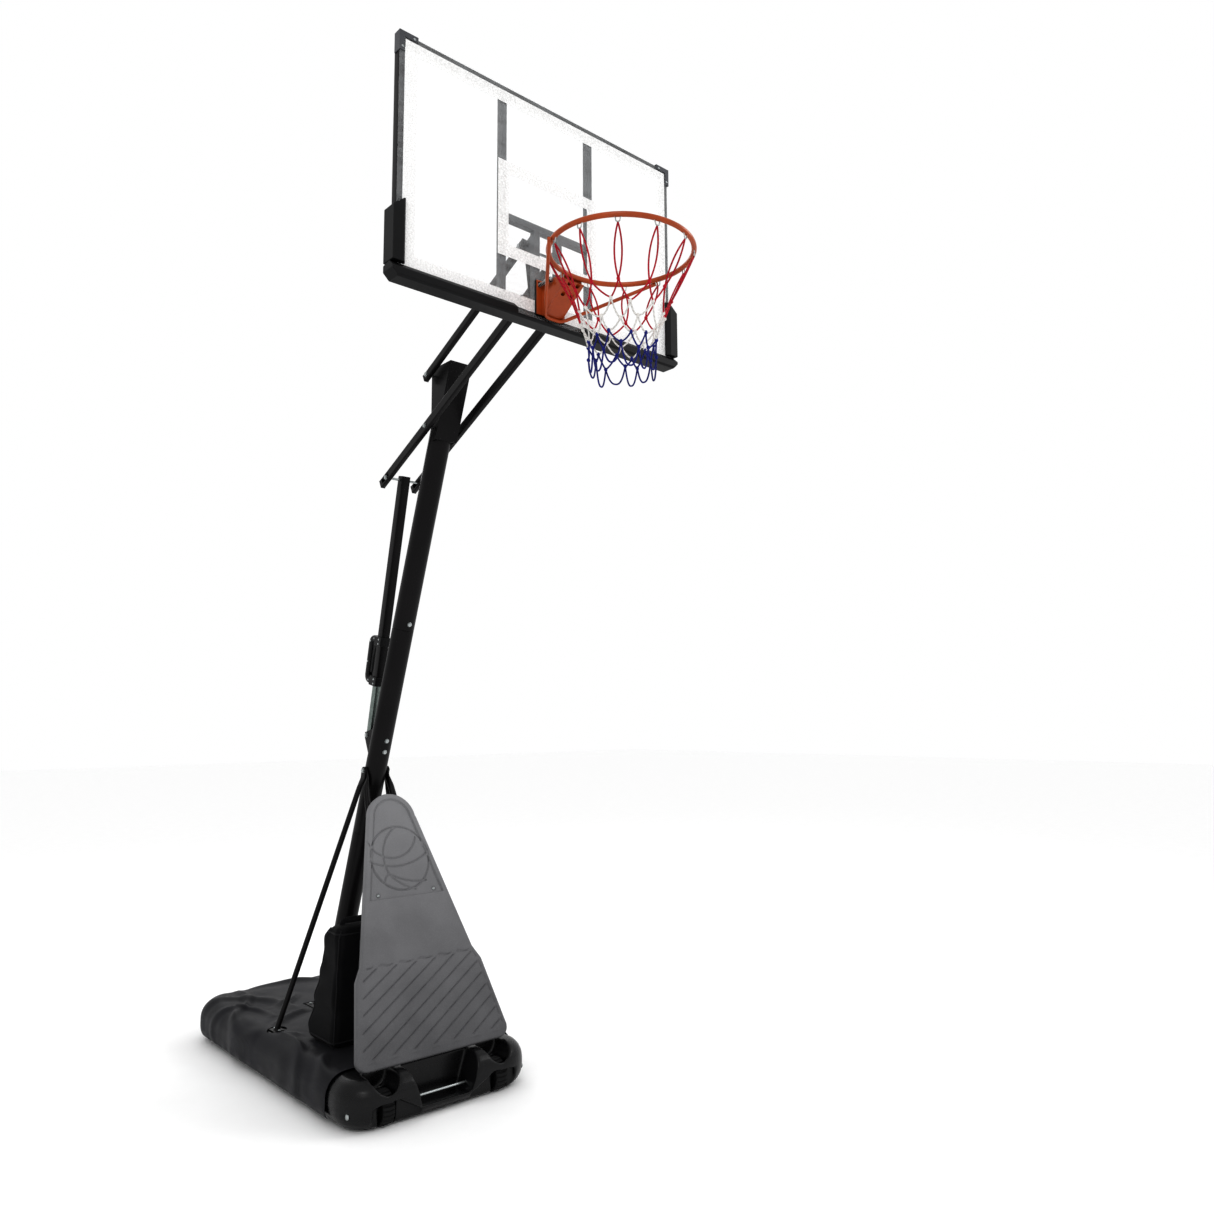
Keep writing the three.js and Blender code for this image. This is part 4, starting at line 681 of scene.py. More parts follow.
def build(
    name: str, surface: Surface, finish: Finish, body: str, replaced: Sequence[str] = (), angle: float = 40
) -> bpy.types.Object:
    """A closed surface as a finished piece.

    Args:
        name: the piece's name.
        surface: its surface.
        finish: its finish.
        body: the body that it rides on.
        replaced: the CAD nodes that it stands for.
        angle: degrees between faces past which an edge stays sharp.

    Returns:
        The piece.
    """
    made = raw_object(name, surface)
    smooth(made.data, angle)
    return dress(made, finish, body, replaced)


def applied(made: bpy.types.Object) -> bpy.types.Object:
    """Puts an object's modifiers into its mesh, and returns it."""
    bpy.context.view_layer.update()
    graph = bpy.context.evaluated_depsgraph_get()
    shown = made.evaluated_get(graph)
    mesh = bpy.data.meshes.new_from_object(shown, preserve_all_data_layers=True, depsgraph=graph)
    made.modifiers.clear()
    made.data = mesh
    return made


def cut_away(made: bpy.types.Object, cutter: Surface) -> bpy.types.Object:
    """Takes a closed surface's room out of an object."""
    tool = raw_object("cutter", cutter)
    change = made.modifiers.new("cut", "BOOLEAN")
    change.operation, change.object, change.solver = "DIFFERENCE", tool, "EXACT"
    applied(made)
    bpy.data.objects.remove(tool)
    return made


def polished(
    node: str, finish: Finish, bevel_mm: float = 1.2, segments: int = 2, angle: float = 32,
    cutter: Surface | None = None
) -> bpy.types.Object:
    """A CAD node's own shape with its flat faces merged and its edges rounded.

    Args:
        node: the CAD node, which the piece replaces.
        finish: its finish.
        bevel_mm: the width of the rounded edge.
        segments: spans in the rounding.
        angle: degrees between faces past which an edge is rounded.
        cutter: a closed surface to take out of it first.

    Returns:
        The piece.
    """
    source = FRAME["nodes"][node]
    work = bmesh.new()
    work.from_mesh(source.data)
    bmesh.ops.remove_doubles(work, verts=work.verts, dist=2e-5)
    bmesh.ops.dissolve_limit(work, angle_limit=math.radians(0.6), verts=work.verts, edges=work.edges)
    mesh = bpy.data.meshes.new(node + "_finished")
    work.to_mesh(mesh)
    work.free()
    made = bpy.data.objects.new(node + "_finished", mesh)
    bpy.context.scene.collection.objects.link(made)
    if cutter:
        cut_away(made, cutter)
    smooth(made.data, angle)
    edge = made.modifiers.new("edges", "BEVEL")
    edge.width, edge.segments = bevel_mm * MM, segments
    edge.limit_method, edge.angle_limit = "ANGLE", math.radians(angle)
    edge.harden_normals = True
    applied(made)
    return dress(made, finish, source["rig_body"], [node])


@dataclass(frozen=True)
class Line:
    """A leaning axis in the plane x = 0: a start, the way along it and the way behind it."""

    start: tuple[float, float, float]
    lean: float

    @property
    def ahead(self) -> np.ndarray:
        """The way along the axis, leaning towards -Y."""
        return np.array([0, -math.sin(self.lean), math.cos(self.lean)])

    @property
    def behind(self) -> np.ndarray:
        """The way square to the axis, towards +Y."""
        return np.array([0, math.cos(self.lean), math.sin(self.lean)])

    def at(self, along_mm: float, behind_mm: float = 0, x_mm: float = 0) -> np.ndarray:
        """The point at distances in millimetres along, behind and beside the axis."""
        offset = along_mm * self.ahead + behind_mm * self.behind + np.array([x_mm, 0, 0])
        return np.array(self.start) + MM * offset


POLE_LEAN = math.radians(19.59)
POLE = Line((0, 0.220, 0), POLE_LEAN)
STRUT = Line((0, -0.163, 1.358), math.radians(12.683857))


# ---- Base ---------------------------------------------------------------------------------------


@dataclass
class Base:
    """The water tank with its fitted cover, filler cap and carry bag."""

    tank_split: float = -0.56
    voxel: float = 0.0045
    flat_half_width: float = 0.3305
    flat_front: float = -0.7505
    flat_rear: float = 0.6355
    corner: float = 0.060
    swell: float = 0.070
    swell_height: float = 0.0775
    cover_top: float = 0.1752
    cover_front: float = -0.640
    hem: float = 0.026
    cloth: float = 0.0014

    def half_tank(self, name: str, front: bool) -> bpy.types.Object:
        """The tank's solid on one side of the split.

        Args:
            name: the new object's name.
            front: whether to keep the front side.

        Returns:
            The closed part.
        """
        work = bmesh.new()
        work.from_mesh(FRAME["nodes"]["tank"].data)
        bmesh.ops.remove_doubles(work, verts=work.verts, dist=2e-5)
        everything = [*work.verts, *work.edges, *work.faces]
        sides = {"clear_outer": front, "clear_inner": not front}
        bmesh.ops.bisect_plane(
            work, geom=everything, plane_co=(0, self.tank_split, 0), plane_no=(0, 1, 0), **sides
        )
        bmesh.ops.triangle_fill(work, edges=[e for e in work.edges if e.is_boundary], use_beauty=True)
        bmesh.ops.recalc_face_normals(work, faces=work.faces)
        mesh = bpy.data.meshes.new(name)
        work.to_mesh(mesh)
        work.free()
        made = bpy.data.objects.new(name, mesh)
        bpy.context.scene.collection.objects.link(made)
        return made

    def build_tank(self) -> None:
        """The lobes in front as one soft blown skin, and the plain hull under the cover."""
        front = self.half_tank("tank_front", True)
        skin = front.modifiers.new("skin", "REMESH")
        skin.mode, skin.voxel_size = "VOXEL", self.voxel
        soften = front.modifiers.new("soften", "SMOOTH")
        soften.factor, soften.iterations = 0.5, 9
        applied(front)
        smooth(front.data, 80)
        dress(front, BLOWN_BLACK, "root", ["tank"])
        rear = self.half_tank("tank_rear", False)
        smooth(rear.data, 30)
        dress(rear, BLOWN_BLACK, "root")

    def outline(self, count: int) -> tuple[np.ndarray, np.ndarray]:
        """The edge of the tank's flat top, and the way outward at each of its points.

        Args:
            count: the number of points, evenly spaced round it.

        Returns:
            The points and the outward directions, each count by 2.
        """
        length = self.flat_rear - self.flat_front
        corners = rounded_rect(2 * self.flat_half_width, length, self.corner, 12)
        corners = corners + [0, (self.flat_front + self.flat_rear) / 2]
        loop = np.concatenate([corners, corners[:1]])
        run = np.concatenate([[0], np.cumsum(np.linalg.norm(np.diff(loop, axis=0), axis=1))])
        even = np.linspace(0, run[-1], count, endpoint=False)
        points = np.stack([np.interp(even, run, loop[:, k]) for k in (0, 1)], -1)
        tangent = unit(np.roll(points, -1, 0) - np.roll(points, 1, 0))
        return points, np.stack([tangent[:, 1], -tangent[:, 0]], -1)

    def fold(
        self, place: np.ndarray, start: Sequence[float], end: Sequence[float], height: float, width: float
    ) -> np.ndarray:
        """A ridge: height times the bell curve of the distance to a line that sags in its middle.

        Args:
            place: x and y of the points.
            start: one end of the ridge.
            end: its other end.
            height: its height.
            width: its half width.

        Returns:
            The height at each point.
        """
        start, end = np.array(start, float), np.array(end, float)
        span = end - start
        t = np.clip(((place - start) @ span) / (span @ span), 0, 1)
        square = unit(np.array([-span[1], span[0]]))
        bow = 0.12 * np.linalg.norm(span) * 4 * t * (1 - t)
        near = start + t[..., None] * span + bow[..., None] * square
        distance = np.linalg.norm(place - near, axis=-1)
        crest = np.exp(-((distance / width) ** 1.35)) - 0.3 * np.exp(-(((distance - 2 * width) / width) ** 2))
        return height * crest * np.sin(np.pi * (0.08 + 0.84 * t))

    def rise(self, place: np.ndarray) -> np.ndarray:
        """How far the cloth stands off the tank: ridges between its corners and feet, and slow waves.

        Args:
            place: x and y of the points.

        Returns:
            The height at each point, never below zero.
        """
        ridges = [
            ((-0.38, 0.60), (-0.14, 0.24), 0.019, 0.026),
            ((-0.22, 0.64), (-0.36, 0.30), 0.017, 0.018),
            ((-0.40, 0.46), (-0.26, 0.16), 0.015, 0.016),
            ((0.38, 0.62), (0.16, 0.30), 0.018, 0.026),
            ((-0.33, -0.02), (-0.06, 0.16), 0.016, 0.018),
            ((-0.34, -0.05), (-0.40, -0.40), 0.016, 0.020),
            ((-0.32, -0.06), (-0.30, -0.34), 0.013, 0.016),
            ((0.33, -0.03), (0.10, 0.12), 0.016, 0.018),
            ((0.33, -0.05), (0.38, -0.40), 0.016, 0.022),
            ((-0.38, 0.04), (-0.30, 0.42), 0.015, 0.018),
            ((0.38, 0.06), (0.28, 0.44), 0.015, 0.020),
            ((-0.14, 0.66), (0.16, 0.58), 0.015, 0.024),
            ((-0.38, -0.62), (-0.28, -0.42), 0.012, 0.018),
            ((0.05, -0.35), (0.32, -0.58), 0.014, 0.020),
            ((0.10, 0.32), (0.32, 0.20), 0.012, 0.016),
            ((-0.04, 0.42), (-0.20, 0.28), 0.012, 0.016),
        ]
        height = sum(self.fold(place, *ridge) for ridge in ridges)
        x, y = place[..., 0], place[..., 1]
        waves = np.sin(17 * x + 6 * y) * np.sin(13 * y - 5 * x) + 0.5 * np.sin(31 * x - 23 * y + 1)
        height = height + 0.0018 * (1 + waves)
        bag = np.maximum(np.abs(x + 0.165) - 0.105, np.abs(y + 0.3075) - 0.1175)
        foot = np.maximum(np.abs(x) - 0.083, np.abs(y - 0.16) - 0.093)
        feet = np.hypot(np.abs(x) - 0.316, y + 0.02) - 0.039
        clear = np.minimum(np.minimum(bag, foot), feet)
        return np.clip(height, 0, 0.022) * np.clip(clear / 0.05, 0, 1)

    def build_cover(self) -> None:
        """The fitted cloth: rings from the middle of the top out over the swollen sides to the hem."""
        edge, outward = self.outline(260)
        centre = np.array([0, (self.flat_front + self.flat_rear) / 2])
        shares = np.linspace(0.01, 1, 46)
        flat = centre + shares[:, None, None] * (edge - centre)
        turn = np.linspace(0, np.pi / 2, 15)[1:]
        tuck = np.linspace(0, math.asin((72 * MM - self.hem) / self.swell_height), 9)
        mid = self.cover_top - self.swell_height
        offset = np.concatenate([np.zeros(len(shares)), self.swell * np.sin(turn), self.swell * np.cos(tuck)])
        level = np.concatenate(
            [
                np.full(len(shares), self.cover_top), mid + self.swell_height * np.cos(turn),
                72 * MM - self.swell_height * np.sin(tuck)
            ]
        )
        plan = np.concatenate([flat, np.broadcast_to(edge, (len(turn) + len(tuck), *edge.shape))])
        plan = plan + offset[:, None, None] * outward
        lift = self.rise(plan)
        sideways = np.clip(offset / self.swell, 0, 1)[:, None] ** 2
        hem_wave = np.linspace(0, 1, len(tuck))
        ruffle = 0.003 * np.sin(np.arange(260) * 2 * np.pi * 34 / 260 + 2 * np.sin(np.arange(260) * 0.09))
        lift[-len(tuck) :] += np.clip(hem_wave[:, None] * (0.003 + ruffle), 0, None)
        plan = plan + (lift * sideways)[..., None] * outward
        height = level[:, None] + lift * (1 - sideways)
        points = np.concatenate([plan, height[..., None]], -1)
        uv = np.stack([plan[..., 0], plan[..., 1] - height], -1)
        surface = grid(points, around=True, uv=uv)
        surface.faces.append(list(range(260)))
        cover = raw_object("fitted_cover", surface, open_shell=True)
        work = bmesh.new()
        work.from_mesh(cover.data)
        everything = [*work.verts, *work.edges, *work.faces]
        bmesh.ops.bisect_plane(
            work, geom=everything, plane_co=(0, self.cover_front, 0), plane_no=(0, 1, 0), clear_inner=True
        )
        bmesh.ops.recalc_face_normals(work, faces=work.faces)
        highest = max(work.faces, key=lambda face: face.calc_center_median().z)
        if highest.normal.z < 0:
            bmesh.ops.reverse_faces(work, faces=work.faces)
        area = sum(face.calc_area() for face in work.faces)
        work.to_mesh(cover.data)
        work.free()
        wall = cover.modifiers.new("cloth", "SOLIDIFY")
        wall.thickness, wall.offset = self.cloth, -1
        applied(cover)
        foot = block((0, 0.1595, 0.12), (0, 0.1595, 0.24), 0.166, 0.186, 0.004)
        holes = [
            lathe([[0, 0], [0.0386, 0], [0.0386, 0.1], [0, 0.1]], (x, -0.02, 0.13), (0, 0, 1), 40)
            for x in (-0.316, 0.316)
        ]
        cut_away(cover, joined([foot, *holes]))
        smooth(cover.data, 60)
        dress(cover, COVER_NAVY, "root", ["base_cover"])

    def build_bag(self) -> None:
        """A soft wedge: rounded rectangles stacked up, deep at the floor and narrow at the top."""
        low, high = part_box("storage_bag")
        rows, sides = 64, 24
        rise = np.linspace(0, 1, rows)
        depth = np.interp(rise, [0, 0.12, 0.62, 0.9, 1], [0.232, 0.228, 0.15, 0.122, 0.092])
        width = np.interp(rise, [0, 0.1, 0.5, 0.9, 1], [0.200, 0.206, 0.194, 0.184, 0.160])
        ends = np.sqrt(np.clip(1 - (1 - np.clip(np.minimum(rise, 1 - rise) / 0.045, 0, 1)) ** 2, 0.0, 1))
        shrink = 0.016 * (1 - ends)
        sections = np.stack(
            [rounded_rect(w - 2 * s, d - 2 * s, 0.030, sides) for w, d, s in zip(width, depth, shrink)]
        )
        angle = np.arctan2(sections[..., 1], sections[..., 0])
        up = rise[:, None]
        crease = (
            np.sin(9 * angle + 7 * up) * np.sin(14 * up + 2 * np.cos(angle)) + 0.6
            * np.sin(23 * up + 5 * angle)
        )
        slump = (
            0.0035 * crease - 0.005 * np.exp(-(((up - 0.66) / 0.05) ** 2)) - 0.004
            * np.exp(-(((up - 0.3) / 0.04) ** 2))
        )
        outward = unit(sections)
        sections = sections + (slump * np.clip(ends[:, None] * 1.2, 0, 1))[..., None] * outward
        x = (low.x + high.x) / 2 + sections[..., 0]
        y = low.y + 0.004 + depth[:, None] / 2 + sections[..., 1]
        z = np.broadcast_to(low.z + 0.001 + rise[:, None] * (high.z - low.z - 0.002), x.shape)
        points = np.stack([x, y, z], -1)
        uv = np.stack([angle * 0.12, np.broadcast_to(z, x.shape)], -1)
        shell = build(
            "bag_shell", grid(points, around=True, capped=True, uv=uv), BAG_BLACK, "root", ["storage_bag"], 60
        )
        corner = [
            sides // 2, 3 * (sides + 1) + sides // 2, (sides + 1) + sides // 2, 2 * (sides + 1) + sides // 2
        ]
        piping = [
            tube(
                points[2:-2, k] + 0.0015
                * np.array([np.sign(points[0, k, 0] - x.mean()), np.sign(points[0, k, 1] - y[0].mean()), 0]),
                0.0028, 8
            )
            for k in corner
        ]
        rim = [sweep(points[k], circle(0.0028, 8), (0, 0, 1), closed=True) for k in (3, rows - 5)]
        top = high.z
        xs, y0 = (low.x + high.x) / 2, low.y + 0.055
        loop = bent(
            [
                (xs - 0.05, y0, top - 0.02), (xs - 0.05, y0, top + 0.014), (xs + 0.05, y0, top + 0.014),
                (xs + 0.05, y0, top - 0.02)
            ],
            0.016
        )
        strap = sweep(loop, rounded_rect(0.0026, 0.024, 0.0012, 2), (0, 1, 0))
        trims = build("bag_piping_and_handle", joined([*piping, *rim, strap]), WEBBING, "root")
        zip_path = (
            points[:, 0] * 0 + np.stack([np.full(rows, xs), points[:, :, 1].min(axis=1) - 0.001, z[:, 0]], -1)
        )
        teeth = build(
            "bag_zip", sweep(zip_path[6:-8], rounded_rect(0.006, 0.003, 0.0012, 2), (1, 0, 0)), ZINC, "root"
        )
        LOG.info("bag trims: %s, %s", trims.name, teeth.name)

    def build_cap(self) -> None:
        """The screwed filler cap with a grip bar and a ring of ribs round its rim."""
        low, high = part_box("fill_cap")
        x, y = (low.x + high.x) / 2, (low.y + high.y) / 2
        radius = (high.x - low.x) / 2
        angle = np.linspace(0, 2 * np.pi, 144, endpoint=False)
        ribs = 1 - 0.02 * (0.5 + 0.5 * np.cos(36 * angle))
        along = np.array([0, 0.0, 21, 21, 22.5, 28, 29.3, 29.3]) * MM + low.z
        size = np.array([0, 0.58, 0.58, 0.97, 1, 1, 0.95, 0]) * radius
        ring = np.stack([np.cos(angle) * ribs, np.sin(angle) * ribs], -1)
        plan = size[:, None, None] * ring[None]
        points = np.concatenate([plan + [x, y], np.broadcast_to(along[:, None, None], (8, 144, 1))], -1)
        bar = block(
            (x - 0.026, y, high.z - 0.001), (x + 0.026, y, high.z - 0.001), 0.008, 0.006, 0.002, (0, 1, 0)
        )
        build("filler_cap", joined([grid(points, around=True), bar]), HANDLE_NYLON, "filler", ["fill_cap"])

    def build(self) -> None:
        """Builds the whole base."""
        self.build_tank()
        self.build_cover()
        self.build_bag()
        self.build_cap()
        water = FRAME["nodes"]["ballast_water"]
        water.data.materials.clear()
        water.data.materials.append(WATER.material())


@dataclass
class Wheels:
    """Two treaded wheels on one axle."""

    radius: float = 0.060
    width: float = 0.052
    blocks: int = 22
    groove: float = 0.0045

    def tyre(self, centre: Vector) -> Surface:
        """A turned wheel whose tread drops by a groove between blocks, slanted each way from the middle.

        Args:
            centre: the wheel's centre.

        Returns:
            The wheel's surface.
        """
        half = self.width / 2
        radius = (
            np.array(
                [6.6, 16, 17, 44, 46, 52, 57, 59.5, 60, 60, 60, 60, 60, 59.5, 57, 52, 46, 44, 17, 16, 6.6]
            )
            * MM
        )
        across = (
            np.array(
                [
                    -26, -26, -20, -18, -19, -24, -23.5, -20, -16, -6, 0, 6, 16, 20, 23.5, 24, 19, 18, 20,
                    26, 26
                ]
            )
            * MM
        )
        angle = np.linspace(0, 2 * np.pi, 264, endpoint=False)
        slant = angle[None, :] * self.blocks + np.abs(across[:, None]) / half * 1.6
        gap = 1 / (1 + np.exp(-14 * (np.cos(slant) - 0.62)))
        tread = np.clip((radius[:, None] - 0.055) / 0.004, 0, 1)
        size = radius[:, None] - self.groove * gap * tread
        points = np.stack(
            [
                centre.x + np.broadcast_to(across[:, None], size.shape), centre.y + size * np.cos(angle),
                centre.z + size * np.sin(angle)
            ],
            -1
        )
        return grid(points, around=True, along=True)

    def build(self) -> None:
        """Builds the wheels and their axle."""
        for name in ("left", "right"):
            low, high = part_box("wheel_" + name)
            build(
                "treaded_wheel_" + name, self.tyre((low + high) / 2), WHEEL_RUBBER, name + "_wheel",
                ["wheel_" + name], 35
            )
        low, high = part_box("wheel_axle")
        y, z = (low.y + high.y) / 2, (low.z + high.z) / 2
        end = high.x - low.x
        caps = [[0, 0], [6, 0.5], [10, 2.5], [11, 6], [6, 6]]
        near = [[r * MM, a * MM] for r, a in caps]
        far = [[r * MM, end - a * MM] for r, a in reversed(caps)]
        build(
            "axle_rod", lathe(near + far, (low.x, y, z), (1, 0, 0), 40), ZINC,
            FRAME["nodes"]["wheel_axle"]["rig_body"], ["wheel_axle"]
        )


# ---- Pole, foot and braces ----------------------------------------------------------------------


@dataclass
class Pole:
    """Three tubes on one axis, their foot, bolts and braces."""

    radius: float = 44.5
    wall: float = 2.0
    neck: float = 42.0
    joints: tuple[float, float] = (1008.0, 1910.0)
    start: float = 204.0
    end: float = 2990.0
    neck_length: float = 90.0

    def tube(self, start: float, end: float, necked: bool) -> Surface:
        """A tube with softened ends, and a neck that enters the next one.

        Args:
            start: its lower end along the axis, in millimetres.
            end: its upper end, without the neck.
            necked: whether it has a neck.

        Returns:
            The closed, hollow surface.
        """
        outer, inner, neck = self.radius, self.radius - self.wall, self.neck - self.wall
        above = end + self.neck_length
        top = [
            [outer, end - 4], [outer - 0.8, end - 1.5], [self.neck, end], [self.neck, above], [neck, above],
            [neck, end], [inner, end - 10]
        ]
        plain = [[outer, end - 0.8], [outer - 0.8, end], [inner + 0.6, end], [inner, end - 0.6]]
        profile = [
            [inner, start + 0.6], [inner + 0.6, start], [outer - 0.8, start], [outer, start + 0.8],
            *(top if necked else plain)
        ]
        return lathe(np.array(profile) * MM, POLE.start, POLE.ahead, 96, closed=True)

    def cross_bolt(self, height: float, rear: float) -> Surface:
        """A bolt from the pole's front to its rear at a height in metres."""
        along = height / math.cos(POLE_LEAN) / MM
        return hex_bolt(
            POLE.at(along, -self.radius - 0.3), POLE.at(along, rear), 5 * MM, 8.5 * MM, 6 * MM, nut=False
        )

    def side_bolt(self, node: str, seat: float = 6.0) -> None:
        """A bolt and nut along X in a CAD bolt's place, its heads inside that bolt's length.

        Args:
            node: the CAD bolt.
            seat: the heads' height in millimetres.
        """
        low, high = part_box(node)
        y, z = (low.y + high.y) / 2, (low.z + high.z) / 2
        reach = high.x - seat * MM
        surface = hex_bolt((-reach, y, z), (reach, y, z), 5 * MM, 8.5 * MM, seat * MM)
        build(node + "_set", surface, ZINC, FRAME["nodes"][node]["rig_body"], [node], 30)

    def brace(
        self, sign: float, name: str, lug_x: float, foot: tuple[float, float], radius: float,
        plate: tuple[float, float]
    ) -> None:
        """A round tube flattened into a lug at the pole's side bolt, welded to a plate on the tank.

        The section goes from a flat strap to a circle as a smooth blend over the first stretch.

        Args:
            sign: the side, -1 or 1.
            name: the CAD node that it replaces.
            lug_x: the lug's inner face, in millimetres.
            foot: x and y of its foot, in millimetres.
            radius: the tube's radius, in millimetres.
            plate: half sizes of the foot's plate, in millimetres.
        """
        height = 1210.0
        bolt = np.array([sign * (lug_x + 3), 220 - height * math.tan(POLE_LEAN), height])
        end = np.array([sign * foot[0], foot[1], 175.5])
        start = bolt + 50 * unit(end - bolt)
        start[0] = sign * (lug_x + radius * 0.8)
        down = unit(end - start)
        path = [
            bolt - 16 * down * [0, 1, 1], bolt, bolt + 34 * down * [0, 1, 1], start + 22 * down,
            start + 60 * down, end
        ]
        t = np.concatenate([np.linspace(0, 4, 60), np.linspace(4, 5, 12)[1:]])
        stations = np.stack([np.interp(t, np.arange(6), np.array(path)[:, k]) for k in range(3)], -1)
        share = np.clip((t - 1.8) / 1.6, 0, 1)
        share = share * share * (3 - 2 * share)
        tip = np.sqrt(np.clip(1 - (1 - np.clip(t / 0.95, 0.02, 1)) ** 2, 0, 1))
        angle = np.linspace(0, 2 * np.pi, 32, endpoint=False)
        power = 0.35 + 0.65 * share[:, None]
        thick = (3 + (radius - 3) * share)[:, None]
        wide = ((17 + (radius - 17) * share) * tip)[:, None]
        section = np.stack(
            [
                thick * np.sign(np.cos(angle)) * np.abs(np.cos(angle)) ** power,
                wide * np.sign(np.sin(angle)) * np.abs(np.sin(angle)) ** power
            ],
            -1
        )
        shaft = sweep(stations * MM, section * MM, (1, 0, 0))
        x, y = end[0] * MM, end[1] * MM
        px, py = plate
        floor = 0.1703
        sheet = block((x, y, floor), (x, y, floor + 0.005), 2 * px * MM, 2 * py * MM, 0.0016)
        weld = lathe(
            [[0, 0], [radius + 4, 0], [radius + 2.6, 2.2], [radius, 5], [0, 5]] * np.array([MM, MM]),
            (x, y, floor + 0.0048), (0, 0, 1), 32
        )
        build(name + "_tube", joined([shaft, sheet, weld]), POWDER_BLACK, "root", [name])
        screws = [
            hex_bolt(
                (x, y + s * (py - 6) * MM, floor + 0.005), (x, y + s * (py - 6) * MM, floor + 0.001),
                2.5 * MM, 4.5 * MM, 3.5 * MM, nut=False
            )
            for s in (-1, 1)
        ]
        build(name + "_screws", joined(screws), ZINC, "root", (), 30)

    def build(self) -> None:
        """Builds the pole with everything bolted to it."""
        first, second = self.joints
        build("pole_lower_tube", self.tube(self.start, first, True), POWDER_BLACK, "root", ["pole_lower"])
        build("pole_middle_tube", self.tube(first + 0.3, second, True), POWDER_BLACK, "root", ["pole_middle"])
        build(
            "pole_upper_tube", self.tube(second + 0.3, self.end, False), POWDER_BLACK, "root", ["pole_upper"]
        )
        build(
            "pole_joint_bolt_set", self.cross_bolt(1.827, self.radius + 8), ZINC, "root",
            ["pole_joint_bolt"], 30
        )
        for name, height in (("upper", 1.348), ("lower", 1.302)):
            build(
                f"strut_bracket_bolt_{name}_set", self.cross_bolt(height, self.radius + 7), ZINC, "root",
                ["strut_bracket_bolt_" + name], 30
            )
        polished("pole_foot", POWDER_BLACK, 1.6)
        polished("strut_bracket", POWDER_BLACK, 1.0)
        for node in ("pole_foot_bolt", "brace_bolt"):
            self.side_bolt(node)
        for sign, name in ((-1, "left"), (1, "right")):
            self.brace(sign, "brace_" + name, 51.8, (316, -20), 11, (22, 28))
            self.brace(sign, "panel_strut_" + name, 45.5, (158, -668), 12.5, (18, 22))
        corners = [(x, y) for x in (-0.058, 0.058) for y in (0.1595 - 0.068, 0.1595 + 0.068)]
        screws = [
            hex_bolt((x, y, 0.1753), (x, y, 0.171), 3 * MM, 6 * MM, 4.5 * MM, nut=False) for x, y in corners
        ]
        build("pole_foot_screws", joined(screws), ZINC, "root", (), 30)


# ---- Front panel --------------------------------------------------------------------------------


